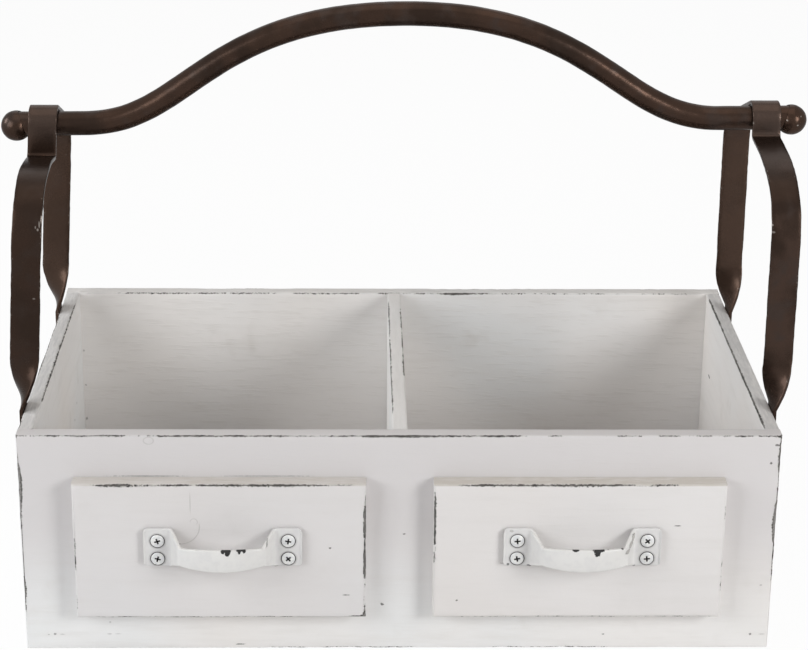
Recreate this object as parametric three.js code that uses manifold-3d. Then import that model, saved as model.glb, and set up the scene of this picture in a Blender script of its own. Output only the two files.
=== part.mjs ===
// Storage box: a shallow open box with a divider, two drawer-look front panels with bowed pulls,
// and an arched iron carrying rail held over it by two flat-iron hoops with twisted feet.
// Millimetres, +Z up, the front faces -Y. The origin is the centre of the box's underside.

import * as THREE from 'three';
import { mergeVertices } from 'three/addons/utils/BufferGeometryUtils.js';
import loadManifold from 'manifold-3d';

const wasm = await loadManifold();
wasm.setup();

// Box boards
const boxWidth = 400;
const boxDepth = 228;
const boxHeight = 125;
const faceBoard = 9;
const endBoard = 8;
const dividerBoard = 8;
const bottomBoard = 6;
const arris = 1.2;
const glueLine = 0.1;

// Drawer-look panels on the front board
const panelWidth = 153.5;
const panelHeight = 77.8;
const panelThickness = 10;
const panelSpacing = 35.3;
const panelBase = 23.7;

// Bowed pulls, bent from sheet
const pullLength = 83;
const pullSheet = 1.8;
const plateWidth = 14.5;
const plateHeight = 21.6;
const plateClip = 1.4;
const neckHeight = 10;
const bowHeight = 12.6;
const bowDish = 0.9;
const pullReach = 18.8;
const legRun = 5.6;
const legRise = 12.4;
const pullBend = 2.6;
const pullRise = 3.8;
const pullShift = 1.6;

// Screws
const screwHeadRadius = 3.55;
const screwShankRadius = 1.75;
const screwDome = 0.7;
const screwTip = 2.4;
const pullScrewLength = 10.4;
const hoopScrewLength = 8.4;
const pullScrewSpacing = 10.2;
const pullScrewDrop = 1.4;
const recessSpan = 4;
const recessSlot = 0.9;
const recessDepth = 1.5;

// Carrying rail with its ball ends
const railRadius = 6.7;
const railHeight = 263.2;
const railSpan = 345;
const railRise = 59.4;
const railCrownReach = 107;
const railEndReach = 55;
const railShift = 3.4;
const archShift = -0.9;
const railTiltDegrees = 0.68;
const railStub = 2.1;
const ballRadius = 8.4;
const ballDrop = 1.2;
const ballSocket = 7;

// Flat-iron hoops, each bent a little differently by hand
const hoopWidth = 15.6;
const hoopThickness = 2;
const hoopEase = 0.5;
const hoopInset = 38;
const hoopSeat = 197;
const hoopSkew = 1.3;
const crownLiftLeft = 1.1;
const crownLiftRight = 0.4;
const neckDropLeft = 17.3;
const neckDropRight = 9;
const neckBend = 7.5;
const runDropLeft = -7.5;
const runDropRight = 3;
const cornerDropLeft = -5.5;
const cornerDropRight = 9;
const runReachShare = 0.66;
const frontLegDrop = 40;
const backSlopeDegrees = 20.6;
const backBend = 22;
const twistLength = 27;
const twistStart = 1;
const footDrop = 62;
const footClip = 3;
const footScrewSpacing = 30;

// Clearance between pieces that are cut to each other, and how far a cut runs past a face
const seatGap = 0.3;
const overrun = 2;

// Facet counts
const roundSides = 16;
const railSides = 16;
const railSteps = 64;
const ballSides = 20;
const arrisSteps = 3;
const twistSteps = 12;
const shoulderSteps = 14;
const bendSteps = 4;
const crownSteps = 10;
const bowSteps = 16;
const dishSteps = 4;
const straightSteps = 2;
const strapColumns = 3;

const railTilt = THREE.MathUtils.degToRad(railTiltDegrees);
const backSlope = THREE.MathUtils.degToRad(backSlopeDegrees);
const pullTop = pullReach - pullSheet / 2;
const hoopSpread = boxDepth / 2 - hoopInset;

const paint = () => new THREE.MeshStandardMaterial({ color: 0xdedcd8, roughness: 0.75, metalness: 0 });
const enamel = () => new THREE.MeshStandardMaterial({ color: 0xe6e6e6, roughness: 0.35, metalness: 0 });
const steel = () => new THREE.MeshStandardMaterial({ color: 0xd0d0ce, roughness: 0.4, metalness: 0.2 });
const iron = () => new THREE.MeshStandardMaterial({ color: 0x332b27, roughness: 0.5, metalness: 0.4 });

// A closed geometry as a solid that can be cut and joined.
function toSolid(geometry) {
  const bare = geometry.clone();
  bare.deleteAttribute('normal');
  bare.deleteAttribute('uv');
  const merged = mergeVertices(bare);
  const vertProperties = Float32Array.from(merged.attributes.position.array);
  const triVerts = Uint32Array.from(merged.index.array);
  return new wasm.Manifold(new wasm.Mesh({ numProp: 3, vertProperties, triVerts }));
}

// A solid back as a geometry, flat-shaded.
function toGeometry(solid) {
  const { vertProperties, triVerts, numProp } = solid.getMesh();
  const geometry = new THREE.BufferGeometry();
  geometry.setAttribute('position', new THREE.BufferAttribute(new Float32Array(vertProperties), numProp));
  geometry.setIndex(new THREE.BufferAttribute(new Uint32Array(triVerts), 1));
  const flat = geometry.toNonIndexed();
  flat.computeVertexNormals();
  return flat;
}

function cutFrom(geometry, cutters) {
  const solid = cutters.reduce((rest, cutter) => rest.subtract(toSolid(cutter)), toSolid(geometry));
  return toGeometry(solid);
}

function namedMesh(name, geometry, material) {
  const mesh = new THREE.Mesh(geometry, material);
  mesh.name = name;
  return mesh;
}

// A rectangle with its lower-left corner at the origin and its two top corners rounded.
function boardSection(thickness, height) {
  const shape = new THREE.Shape();
  shape.moveTo(0, 0);
  shape.lineTo(thickness, 0);
  shape.lineTo(thickness, height - arris);
  shape.absarc(thickness - arris, height - arris, arris, 0, Math.PI / 2);
  shape.lineTo(arris, height);
  shape.absarc(arris, height - arris, arris, Math.PI / 2, Math.PI);
  shape.closePath();
  return shape;
}

function boardGeometry(thickness, height, length) {
  const options = { depth: length, bevelEnabled: false, curveSegments: arrisSteps };
  return new THREE.ExtrudeGeometry(boardSection(thickness, height), options);
}

// A plain rectangle, its lower edge centred on the origin.
function rectangle(width, height) {
  const shape = new THREE.Shape();
  shape.moveTo(-width / 2, 0);
  shape.lineTo(width / 2, 0);
  shape.lineTo(width / 2, height);
  shape.lineTo(-width / 2, height);
  shape.closePath();
  return shape;
}

// A slab with every arris rounded: x along it, y up, its back on z = 0 and its face towards +z.
function easedSlab(width, height, thickness) {
  const slab = new THREE.ExtrudeGeometry(rectangle(width, height), {
    depth: thickness - 2 * arris,
    bevelEnabled: true,
    bevelThickness: arris,
    bevelSize: arris,
    bevelOffset: -arris,
    bevelSegments: arrisSteps,
  });
  slab.translate(0, 0, arris);
  return slab;
}

// A board over the box's whole width, its back on y.
function faceBoardMesh(name, y) {
  const mesh = namedMesh(name, easedSlab(boxWidth, boxHeight, faceBoard), paint());
  mesh.rotation.set(Math.PI / 2, 0, 0);
  mesh.position.set(0, y, 0);
  return mesh;
}

// A board that runs along Y, its thickness along +X from x, standing on z.
function boardAlongY(name, thickness, height, length, x, z, material, cutters = []) {
  const geometry = cutFrom(boardGeometry(thickness, height, length), cutters);
  const mesh = namedMesh(name, geometry, material);
  mesh.rotation.set(Math.PI / 2, 0, 0);
  mesh.position.set(x, length / 2, z);
  return mesh;
}

// Screw holes through an end board, in the board's own section frame: x through it, y up, z along it.
function footScrewHoles(side) {
  const depth = hoopScrewLength - hoopThickness + seatGap;
  const holes = [];
  for (const leg of [-1, 1]) {
    for (const drop of footScrewDrops()) {
      const hole = new THREE.CylinderGeometry(
        screwShankRadius + seatGap, screwShankRadius + seatGap, depth + overrun, roundSides);
      hole.rotateZ(Math.PI / 2);
      const mid = (depth - overrun) / 2;
      const x = side < 0 ? mid : endBoard - mid;
      hole.translate(x, boxHeight - drop, insideDepth() / 2 - leg * hoopSpread);
      holes.push(hole);
    }
  }
  return holes;
}

// How far below the rim each foot's screws sit.
function footScrewDrops() {
  const lower = footDrop - footScrewEdge();
  return [lower - footScrewSpacing, lower];
}

// Distance from a foot's lower end to its nearest screw.
function footScrewEdge() {
  return footClip + screwHeadRadius * 2;
}

// The clear distance between the front and back boards, less the glue lines.
function insideDepth() {
  return boxDepth - 2 * (faceBoard + glueLine);
}

function box() {
  const group = new THREE.Group();
  const half = boxDepth / 2;
  const endX = boxWidth / 2 - endBoard;
  group.add(faceBoardMesh('front_board', faceBoard - half));
  group.add(faceBoardMesh('back_board', half));
  group.add(boardAlongY('end_board_left', endBoard, boxHeight, insideDepth(), -boxWidth / 2, 0, paint(),
    footScrewHoles(-1)));
  group.add(boardAlongY('end_board_right', endBoard, boxHeight, insideDepth(), endX, 0, paint(),
    footScrewHoles(1)));
  const dividerBase = bottomBoard + glueLine;
  group.add(boardAlongY('divider', dividerBoard, boxHeight - dividerBase, insideDepth(), -dividerBoard / 2,
    dividerBase, paint()));
  const floor = new THREE.BoxGeometry(2 * (endX - glueLine), insideDepth(), bottomBoard);
  const bottom = namedMesh('bottom_board', floor, paint());
  bottom.position.set(0, 0, bottomBoard / 2);
  group.add(bottom);
  return group;
}

// Places of the four screws of a pull, from the pull's centre: x along it, z up.
function pullScrewPlaces() {
  const x = (pullLength - plateWidth) / 2;
  const places = [];
  for (const end of [-1, 1]) {
    for (const level of [1, -1]) {
      places.push({ x: end * x, z: level * pullScrewSpacing / 2 - pullScrewDrop });
    }
  }
  return places;
}

// A thicker slab with its back part cut off, so that only the panel's front arrises are rounded.
function panelGeometry() {
  const slab = easedSlab(panelWidth, panelHeight, panelThickness + 2 * arris);
  slab.translate(0, 0, -2 * arris);
  const waste = new THREE.BoxGeometry(panelWidth + overrun, panelHeight + overrun, 2 * arris + overrun);
  waste.translate(0, panelHeight / 2, -arris - overrun / 2);
  return { slab, waste };
}

function panelCutters() {
  const depth = pullScrewLength - pullSheet + seatGap;
  return pullScrewPlaces().map((place) => {
    const hole = new THREE.CylinderGeometry(
      screwShankRadius + seatGap, screwShankRadius + seatGap, depth + overrun, roundSides);
    hole.rotateX(Math.PI / 2);
    hole.translate(place.x + pullShift, place.z + pullMiddle(), panelThickness - (depth - overrun) / 2);
    return hole;
  });
}

// Height of a pull's middle above its panel's lower edge.
function pullMiddle() {
  return panelHeight / 2 + pullRise;
}

function drawerPanel(name, side) {
  const { slab, waste } = panelGeometry();
  const mesh = namedMesh(name, cutFrom(slab, [waste, ...panelCutters()]), paint());
  mesh.rotation.set(Math.PI / 2, 0, 0);
  mesh.position.set(side * (panelSpacing + panelWidth) / 2, -boxDepth / 2 - glueLine, panelBase);
  return mesh;
}

// Plan of the pull's bent sheet, at mid thickness: x along the pull, y out from the panel.
function pullPlan() {
  const base = pullSheet / 2;
  const rootX = pullLength / 2 - plateWidth;
  const topX = rootX - legRun;
  const topY = base + legRise;
  const legLength = Math.hypot(legRun, legRise);
  const alongX = (legRun / legLength) * pullBend;
  const alongY = (legRise / legLength) * pullBend;
  const filletShare = pullBend / topX;
  const peak = (2 * pullTop - (1 - filletShare) * topY) / (1 + filletShare);
  const startX = topX * (1 - filletShare);
  const startY = topY + (peak - topY) * filletShare;
  const plan = new THREE.Path();
  plan.moveTo(-pullLength / 2, base);
  plan.lineTo(-pullLength / 2 + plateClip, base);
  plan.lineTo(-rootX - pullBend, base);
  plan.quadraticCurveTo(-rootX, base, -rootX + alongX, base + alongY);
  plan.lineTo(-topX - alongX, topY - alongY);
  plan.quadraticCurveTo(-topX, topY, -startX, startY);
  plan.quadraticCurveTo(0, peak, startX, startY);
  plan.quadraticCurveTo(topX, topY, topX + alongX, topY - alongY);
  plan.lineTo(rootX - alongX, base + alongY);
  plan.quadraticCurveTo(rootX, base, rootX + pullBend, base);
  plan.lineTo(pullLength / 2 - plateClip, base);
  plan.lineTo(pullLength / 2, base);
  return plan;
}

// Height of the sheet at x: full at the plates, drawn in at the necks, fuller again over the bow.
function sheetHeight(x) {
  const rootX = pullLength / 2 - plateWidth;
  const topX = rootX - legRun;
  const reach = Math.abs(x);
  if (reach <= topX) {
    const share = 1 - (reach / topX) ** 2;
    return neckHeight + (bowHeight - neckHeight) * share;
  }
  if (reach <= rootX) {
    return neckHeight + (plateHeight - neckHeight) * (reach - topX) / legRun;
  }
  const clipStart = pullLength / 2 - plateClip;
  return plateHeight - 2 * Math.max(0, reach - clipStart);
}

// How far the sheet is dished outwards at x, at most over the middle of the bow.
function sheetDish(x) {
  const topX = pullLength / 2 - plateWidth - legRun;
  return bowDish * Math.max(0, 1 - (Math.abs(x) / topX) ** 2);
}

// The sheet is a flat strip, each cross section carried to its place on the plan.
function pullGeometry() {
  const stations = pathStations(pullPlan());
  const steps = stations.length - 1;
  const strip = new THREE.BoxGeometry(steps, pullSheet, 1, steps, 1, dishSteps);
  const position = strip.attributes.position;
  for (let i = 0; i < position.count; i += 1) {
    const station = stations[Math.round(position.getX(i) + steps / 2)];
    const level = 2 * position.getZ(i);
    const lift = position.getY(i) + sheetDish(station.x) * (1 - level ** 2);
    const x = station.x + station.normal.x * lift;
    const y = station.y + station.normal.y * lift;
    position.setXYZ(i, x, y, level * sheetHeight(station.x) / 2);
  }
  return strip;
}

// Points along a plan with the plan's left-hand normal at each, mitred where two pieces meet.
function pathStations(path) {
  const points = [];
  for (const curve of path.curves) {
    const count = curve.isLineCurve ? straightSteps : curveSteps(curve, path);
    for (let step = points.length ? 1 : 0; step <= count; step += 1) {
      points.push(curve.getPoint(step / count));
    }
  }
  return points.map((point, i) => {
    const before = points[Math.max(0, i - 1)];
    const after = points[Math.min(points.length - 1, i + 1)];
    const along = after.clone().sub(before).normalize();
    return { x: point.x, y: point.y, normal: new THREE.Vector2(-along.y, along.x) };
  });
}

// The longest curve of a plan gets more steps than its bends.
function curveSteps(curve, path) {
  const longest = Math.max(...path.curves.filter((c) => !c.isLineCurve).map((c) => c.getLength()));
  return curve.getLength() === longest ? bowSteps : bendSteps;
}

// Countersunk seat for a screw head: its mouth on y = 0, the shank's hole below it.
function screwSeat(depth) {
  const mouth = screwHeadRadius + seatGap;
  const shank = screwShankRadius + seatGap;
  const coneDepth = screwHeadRadius - screwShankRadius;
  const profile = [
    new THREE.Vector2(0, -depth),
    new THREE.Vector2(shank, -depth),
    new THREE.Vector2(shank, -coneDepth),
    new THREE.Vector2(mouth, 0),
    new THREE.Vector2(mouth, overrun),
    new THREE.Vector2(0, overrun),
  ];
  return new THREE.LatheGeometry(profile, roundSides);
}

function pull(name, side) {
  const seats = pullScrewPlaces().map((place) => {
    const seat = screwSeat(pullSheet + overrun);
    seat.translate(place.x, pullSheet, -place.z);
    return seat;
  });
  const mesh = namedMesh(name, cutFrom(pullGeometry(), seats), enamel());
  mesh.rotation.set(Math.PI, 0, 0);
  mesh.position.set(pullX(side), panelFaceY() - seatGap, pullZ());
  return mesh;
}

function pullX(side) {
  return side * (panelSpacing + panelWidth) / 2 + pullShift;
}

function pullZ() {
  return panelBase + pullMiddle();
}

function panelFaceY() {
  return -boxDepth / 2 - glueLine - panelThickness;
}

// Raised countersunk wood screw with a cross recess: its head's rim on y = 0, its point down.
function screwGeometry(length) {
  const coneDepth = screwHeadRadius - screwShankRadius;
  const profile = [
    new THREE.Vector2(0, -length),
    new THREE.Vector2(screwShankRadius, screwTip - length),
    new THREE.Vector2(screwShankRadius, -coneDepth),
    new THREE.Vector2(screwHeadRadius, 0),
    new THREE.Vector2(screwHeadRadius * Math.SQRT1_2, screwDome * Math.SQRT1_2),
    new THREE.Vector2(0, screwDome),
  ];
  const body = new THREE.LatheGeometry(profile, roundSides);
  const recessHeight = recessDepth + overrun;
  const slots = [0, Math.PI / 2].map((turn) => {
    const slot = new THREE.BoxGeometry(recessSpan, recessHeight, recessSlot);
    slot.rotateY(turn + Math.PI / 4);
    slot.translate(0, screwDome - recessDepth + recessHeight / 2, 0);
    return slot;
  });
  return cutFrom(body, slots);
}

function pullScrews(side, label) {
  const group = new THREE.Group();
  group.position.set(pullX(side), panelFaceY() - seatGap - pullSheet, pullZ());
  pullScrewPlaces().forEach((place, i) => {
    const screw = namedMesh(`pull_screw_${label}_${i + 1}`, screwGeometry(pullScrewLength), steel());
    screw.rotation.set(Math.PI, 0, 0);
    screw.position.set(place.x, 0, place.z);
    group.add(screw);
  });
  return group;
}

// Where a hoop carries the rail.
function railSeat(side) {
  return {
    x: railShift + side * hoopSeat * Math.cos(railTilt),
    z: railHeight + side * hoopSeat * Math.sin(railTilt),
  };
}

// How far each hoop's bends lie above or below the rail's axis in its crown.
function hoopBends(side) {
  if (side < 0) {
    return { lift: crownLiftLeft, neck: neckDropLeft, run: runDropLeft, corner: cornerDropLeft };
  }
  return { lift: crownLiftRight, neck: neckDropRight, run: runDropRight, corner: cornerDropRight };
}

// Side view of a hoop at mid thickness, from the front foot over the rail to the back foot: x is depth,
// y is height. The strap rises to a round shoulder, runs back under the rail's front, turns up and over
// the rail, and slopes down to the back leg.
function hoopLine(side) {
  const seat = railSeat(side);
  const bends = hoopBends(side);
  const crownRadius = railRadius + seatGap + hoopThickness / 2;
  const crown = seat.z + bends.lift;
  const neck = new THREE.Vector2(-crownRadius, seat.z - bends.neck);
  const run = new THREE.Vector2(-hoopSpread * runReachShare, neck.y - bends.run);
  const neckEnd = run.clone().sub(neck).setLength(neckBend).add(neck);
  const backX = hoopSpread - backBend * (1 - Math.sin(backSlope));
  const crownEndX = crownRadius * Math.sin(backSlope);
  const fall = (backX - crownEndX) * Math.tan(backSlope);
  const backZ = crown + (crownRadius - backBend) * Math.cos(backSlope) - fall;
  const line = new THREE.Path();
  line.moveTo(-hoopSpread, boxHeight - footDrop);
  for (const z of footHeights()) {
    line.lineTo(-hoopSpread, z);
  }
  line.lineTo(-hoopSpread, neck.y - frontLegDrop);
  line.bezierCurveTo(-hoopSpread, neck.y - bends.corner, run.x, run.y, neckEnd.x, neckEnd.y);
  line.quadraticCurveTo(neck.x, neck.y, neck.x, neck.y + neckBend);
  line.lineTo(-crownRadius, crown);
  line.absarc(0, crown, crownRadius, Math.PI, Math.PI / 2 - backSlope, true);
  line.absarc(hoopSpread - backBend, backZ, backBend, Math.PI / 2 - backSlope, 0, true);
  for (const z of footHeights().reverse()) {
    line.lineTo(hoopSpread, z);
  }
  return line.lineTo(hoopSpread, boxHeight - footDrop);
}

// Heights that a leg is divided at: the foot's clipped corners, the rim and the steps of the twist.
function footHeights() {
  const rim = boxHeight + twistStart;
  const heights = [boxHeight - footDrop + footClip, rim];
  for (let step = 1; step <= twistSteps; step += 1) {
    heights.push(rim + twistLength * step / twistSteps);
  }
  return heights;
}

function hoopPoints(side) {
  const points = [];
  for (const curve of hoopLine(side).curves) {
    const count = hoopCurveSteps(curve);
    for (let step = points.length ? 1 : 0; step <= count; step += 1) {
      points.push(curve.getPoint(step / count));
    }
  }
  return points;
}

function hoopCurveSteps(curve) {
  if (curve.isLineCurve) {
    return 1;
  }
  if (curve.isCubicBezierCurve) {
    return shoulderSteps;
  }
  return curve.isEllipseCurve ? crownSteps : bendSteps;
}

// Sideways place of a hoop's middle: the legs lean in to the crown, and the front ones stand further right.
function hoopX(side, depth, z) {
  const footX = side * (boxWidth / 2 + glueLine + hoopThickness / 2);
  const seat = railSeat(side);
  const leanBase = boxHeight + twistStart + twistLength / 2;
  const lean = (seat.x - footX) / (seat.z - leanBase) * Math.max(0, z - leanBase);
  const skewShare = THREE.MathUtils.clamp((z - boxHeight - twistStart) / twistLength, 0, 1);
  return footX + lean - hoopSkew * skewShare * depth / hoopSpread;
}

// One cross section of a hoop: its centre, the direction across its width, and its normal.
function hoopStation(points, i, side) {
  const [at, before, after] = [i, Math.max(0, i - 1), Math.min(points.length - 1, i + 1)].map((j) => {
    const { x: depth, y: z } = points[j];
    return new THREE.Vector3(hoopX(side, depth, z), depth, z);
  });
  const along = after.sub(before).normalize();
  const twistTop = boxHeight + twistStart + twistLength;
  const turn = THREE.MathUtils.clamp((twistTop - at.z) / twistLength, 0, 1) * Math.PI / 2;
  const across = new THREE.Vector3(Math.cos(turn), -Math.sin(turn), 0);
  across.addScaledVector(along, -across.dot(along)).normalize();
  return { at, across, normal: along.clone().cross(across) };
}

// Width of the strap at a height: the feet's lower corners are clipped.
function hoopWidthAt(z) {
  const aboveEnd = z - (boxHeight - footDrop);
  return hoopWidth - 2 * Math.max(0, footClip - aboveEnd);
}

// The strap is a flat strip with its long edges eased, each cross section carried to its place.
function hoopGeometry(side) {
  const points = hoopPoints(side);
  const steps = points.length - 1;
  const strap = new THREE.BoxGeometry(strapColumns, hoopThickness, steps, strapColumns, 1, steps);
  const position = strap.attributes.position;
  for (let i = 0; i < position.count; i += 1) {
    const index = Math.round(position.getZ(i) + steps / 2);
    const station = hoopStation(points, index, side);
    const onEdge = Math.abs(position.getX(i)) > (strapColumns - 1) / 2;
    const reach = hoopWidthAt(points[index].y) / 2 - (onEdge ? 0 : hoopEase);
    const lift = hoopThickness / 2 - (onEdge ? hoopEase : 0);
    const place = station.at.clone();
    place.addScaledVector(station.across, Math.sign(position.getX(i)) * reach);
    place.addScaledVector(station.normal, Math.sign(position.getY(i)) * lift);
    position.setXYZ(i, place.x, place.y, place.z);
  }
  return strap;
}

// Places of a hoop's four foot screws.
function footScrewPlaces() {
  const places = [];
  for (const leg of [-1, 1]) {
    for (const drop of footScrewDrops()) {
      places.push({ y: leg * hoopSpread, z: boxHeight - drop });
    }
  }
  return places;
}

function hoopOuterX(side) {
  return side * (boxWidth / 2 + glueLine + hoopThickness);
}

function hoop(name, side) {
  const seats = footScrewPlaces().map((place) => {
    const seat = screwSeat(hoopThickness + overrun);
    seat.rotateZ(-side * Math.PI / 2);
    seat.translate(hoopOuterX(side), place.y, place.z);
    return seat;
  });
  return namedMesh(name, cutFrom(hoopGeometry(side), seats), iron());
}

function hoopScrews(side, label) {
  const group = new THREE.Group();
  footScrewPlaces().forEach((place, i) => {
    const screw = namedMesh(`hoop_screw_${label}_${i + 1}`, screwGeometry(hoopScrewLength), iron());
    screw.rotation.set(0, 0, -side * Math.PI / 2);
    screw.position.set(hoopOuterX(side), place.y, place.z);
    group.add(screw);
  });
  return group;
}

// Centre line of the rail: it swings up from a straight end to a flat-topped arch, and down to the other.
class RailLine extends THREE.Curve {
  constructor(endX) {
    super();
    const left = archShift - railSpan / 2;
    const right = archShift + railSpan / 2;
    this.path = new THREE.Path();
    this.path.moveTo(-endX, 0);
    this.path.lineTo(left, 0);
    this.path.bezierCurveTo(left + railEndReach, 0, archShift - railCrownReach, railRise, archShift, railRise);
    this.path.bezierCurveTo(archShift + railCrownReach, railRise, right - railEndReach, 0, right, 0);
    this.path.lineTo(endX, 0);
  }

  getPoint(t, target = new THREE.Vector3()) {
    const point = this.path.getPoint(t);
    return target.set(point.x, 0, point.y);
  }
}

// Distance of each ball's centre from the middle of the rail: a stub of rail shows beyond the hoop, up to
// where the ball is as thick as the rail.
function ballX() {
  return hoopSeat + hoopWidth / 2 + railStub + Math.sqrt(ballRadius ** 2 - railRadius ** 2);
}

function railGeometry() {
  const section = new THREE.Shape();
  section.absarc(0, 0, railRadius, 0, 2 * Math.PI, false);
  const endX = ballX() - ballRadius + ballSocket - seatGap;
  return new THREE.ExtrudeGeometry(section, {
    steps: railSteps,
    curveSegments: railSides / 2,
    bevelEnabled: false,
    extrudePath: new RailLine(endX),
  });
}

// A ball with a blind socket in its inner side for the rail's end, which enters it above the middle.
function ballGeometry(side) {
  const ball = new THREE.SphereGeometry(ballRadius, ballSides, ballSides / 2);
  const socket = new THREE.CylinderGeometry(
    railRadius + seatGap, railRadius + seatGap, ballSocket + overrun, roundSides);
  socket.rotateZ(Math.PI / 2);
  socket.translate(-side * (ballRadius - (ballSocket - overrun) / 2), 0, ballDrop);
  return cutFrom(ball, [socket]);
}

function ball(name, side) {
  const mesh = namedMesh(name, ballGeometry(side), iron());
  mesh.position.set(side * ballX(), 0, -ballDrop);
  return mesh;
}

function rail() {
  const group = new THREE.Group();
  group.add(namedMesh('carrying_rail', railGeometry(), iron()));
  group.add(ball('rail_ball_left', -1));
  group.add(ball('rail_ball_right', 1));
  group.position.set(railShift, 0, railHeight);
  group.rotation.set(0, -railTilt, 0);
  return group;
}

const storageBox = new THREE.Group();
storageBox.add(box());
for (const [label, side] of [['left', -1], ['right', 1]]) {
  storageBox.add(drawerPanel(`drawer_panel_${label}`, side));
  storageBox.add(pull(`pull_${label}`, side));
  storageBox.add(pullScrews(side, label));
  storageBox.add(hoop(`hoop_${label}`, side));
  storageBox.add(hoopScrews(side, label));
}
storageBox.add(rail());

export default storageBox;
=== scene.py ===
"""Looks of an open storage box: worn chalk paint, enamelled bow pulls and a forged iron carrying rail.

Lengths are in metres and angles in degrees. +Z is up, and the front with the two panels faces -Y.
"""

import logging
import math
from dataclasses import dataclass, field
from enum import Enum
from typing import ClassVar, Iterable, Sequence, Union

import bmesh
import bpy
from mathutils import Matrix, Vector, noise


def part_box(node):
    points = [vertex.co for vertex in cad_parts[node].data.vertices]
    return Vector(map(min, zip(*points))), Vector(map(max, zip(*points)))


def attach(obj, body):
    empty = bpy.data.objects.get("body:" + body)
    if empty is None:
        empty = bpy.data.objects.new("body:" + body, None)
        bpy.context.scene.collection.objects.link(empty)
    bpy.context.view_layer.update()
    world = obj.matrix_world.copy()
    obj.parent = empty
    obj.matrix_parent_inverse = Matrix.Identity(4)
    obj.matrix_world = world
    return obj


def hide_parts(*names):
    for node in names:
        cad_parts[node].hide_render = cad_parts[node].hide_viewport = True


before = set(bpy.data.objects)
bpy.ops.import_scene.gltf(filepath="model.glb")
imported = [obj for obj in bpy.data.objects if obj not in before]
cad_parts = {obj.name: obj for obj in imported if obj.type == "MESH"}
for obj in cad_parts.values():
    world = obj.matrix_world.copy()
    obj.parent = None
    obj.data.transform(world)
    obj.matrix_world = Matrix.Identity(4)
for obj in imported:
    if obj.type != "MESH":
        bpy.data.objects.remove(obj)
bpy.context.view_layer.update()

LOG = logging.getLogger("storage_box")
MM = 0.001
TINY = 1e-6
STRAIGHT = 0.999
BODY = "root"
FOLD = math.radians(38)
LATHE_STEPS = 48
CURVE_STEPS = 48
CURVE_SHARES = tuple(step / CURVE_STEPS for step in range(1, CURVE_STEPS + 1))

Pair = tuple[float, float]
Point = tuple[float, float, float]
Colour = tuple[float, float, float]
Stretch = tuple[float, float, float]
Spot = tuple[float, float, float, float, float]
Value = Union["Wire", float, int, Sequence[float]]


def millimetres(*values: float) -> Vector:
    """A point or size written in millimetres, as metres."""
    return Vector(values) * MM


def clamp(value: float) -> float:
    """The value, held between 0 and 1."""
    return min(1.0, max(0.0, value))


def smooth(share: float) -> float:
    """A share from 0 to 1, with a soft start and a soft end."""
    return share * share * (3 - 2 * share)


def paint_colour(red: int, green: int, blue: int) -> Colour:
    """A colour as a screen shows it, from 0 to 255, in the linear light that a shader reads.

    Args:
        red: The red share of the screen colour.
        green: The green share.
        blue: The blue share.

    Returns:
        The three linear shares.
    """
    def linear(level: int) -> float:
        """One share, from the screen's curve to the shader's."""
        share = level / 255
        return share / 12.92 if share <= 0.04045 else ((share + 0.055) / 1.055) ** 2.4

    return linear(red), linear(green), linear(blue)


class Wire:
    """A socket of a shader graph, on which maths is written as Python sums and products."""

    def __init__(self, graph: "Graph", socket: bpy.types.NodeSocket) -> None:
        """Keeps the graph that new nodes go into and the socket that is read."""
        self.graph = graph
        self.socket = socket

    def _maths(self, operation: str, *values: Value) -> "Wire":
        """A Math node of that operation on the values, in order."""
        return self.graph.node("ShaderNodeMath", dict(enumerate(values)), operation=operation)["Value"]

    def __add__(self, other: Value) -> "Wire":
        """The sum."""
        return self._maths("ADD", self, other)

    __radd__ = __add__

    def __mul__(self, other: Value) -> "Wire":
        """The product."""
        return self._maths("MULTIPLY", self, other)

    __rmul__ = __mul__

    def __sub__(self, other: Value) -> "Wire":
        """The difference."""
        return self._maths("SUBTRACT", self, other)

    def __rsub__(self, other: Value) -> "Wire":
        """The difference from a number."""
        return self._maths("SUBTRACT", other, self)

    def least(self, other: Value) -> "Wire":
        """The lesser of the two."""
        return self._maths("MINIMUM", self, other)

    def most(self, other: Value) -> "Wire":
        """The greater of the two."""
        return self._maths("MAXIMUM", self, other)

    def size(self) -> "Wire":
        """The value without its sign."""
        return self._maths("ABSOLUTE", self)

    def sway(self, amount: float) -> "Wire":
        """How far the value lies from a half, times an amount."""
        return (self - 0.5) * amount

    def rise(self, low: float, high: float) -> "Wire":
        """A smooth step from 0 at low to 1 at high.

        Args:
            low: Where the step starts.
            high: Where it ends; below low, the step falls instead.

        Returns:
            The stepped value, from 0 to 1.
        """
        sockets = {"Value": self, "From Min": low, "From Max": high}
        return self.graph.node("ShaderNodeMapRange", sockets, interpolation_type="SMOOTHSTEP")["Result"]


class Made:
    """A node that has been made, whose outputs are read by name."""

    def __init__(self, graph: "Graph", node: bpy.types.Node) -> None:
        """Keeps the node and its graph."""
        self.graph = graph
        self.node = node

    def __getitem__(self, name: str) -> Wire:
        """The output of that name or identifier."""
        return Wire(self.graph, Graph.find(self.node.outputs, name))


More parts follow.
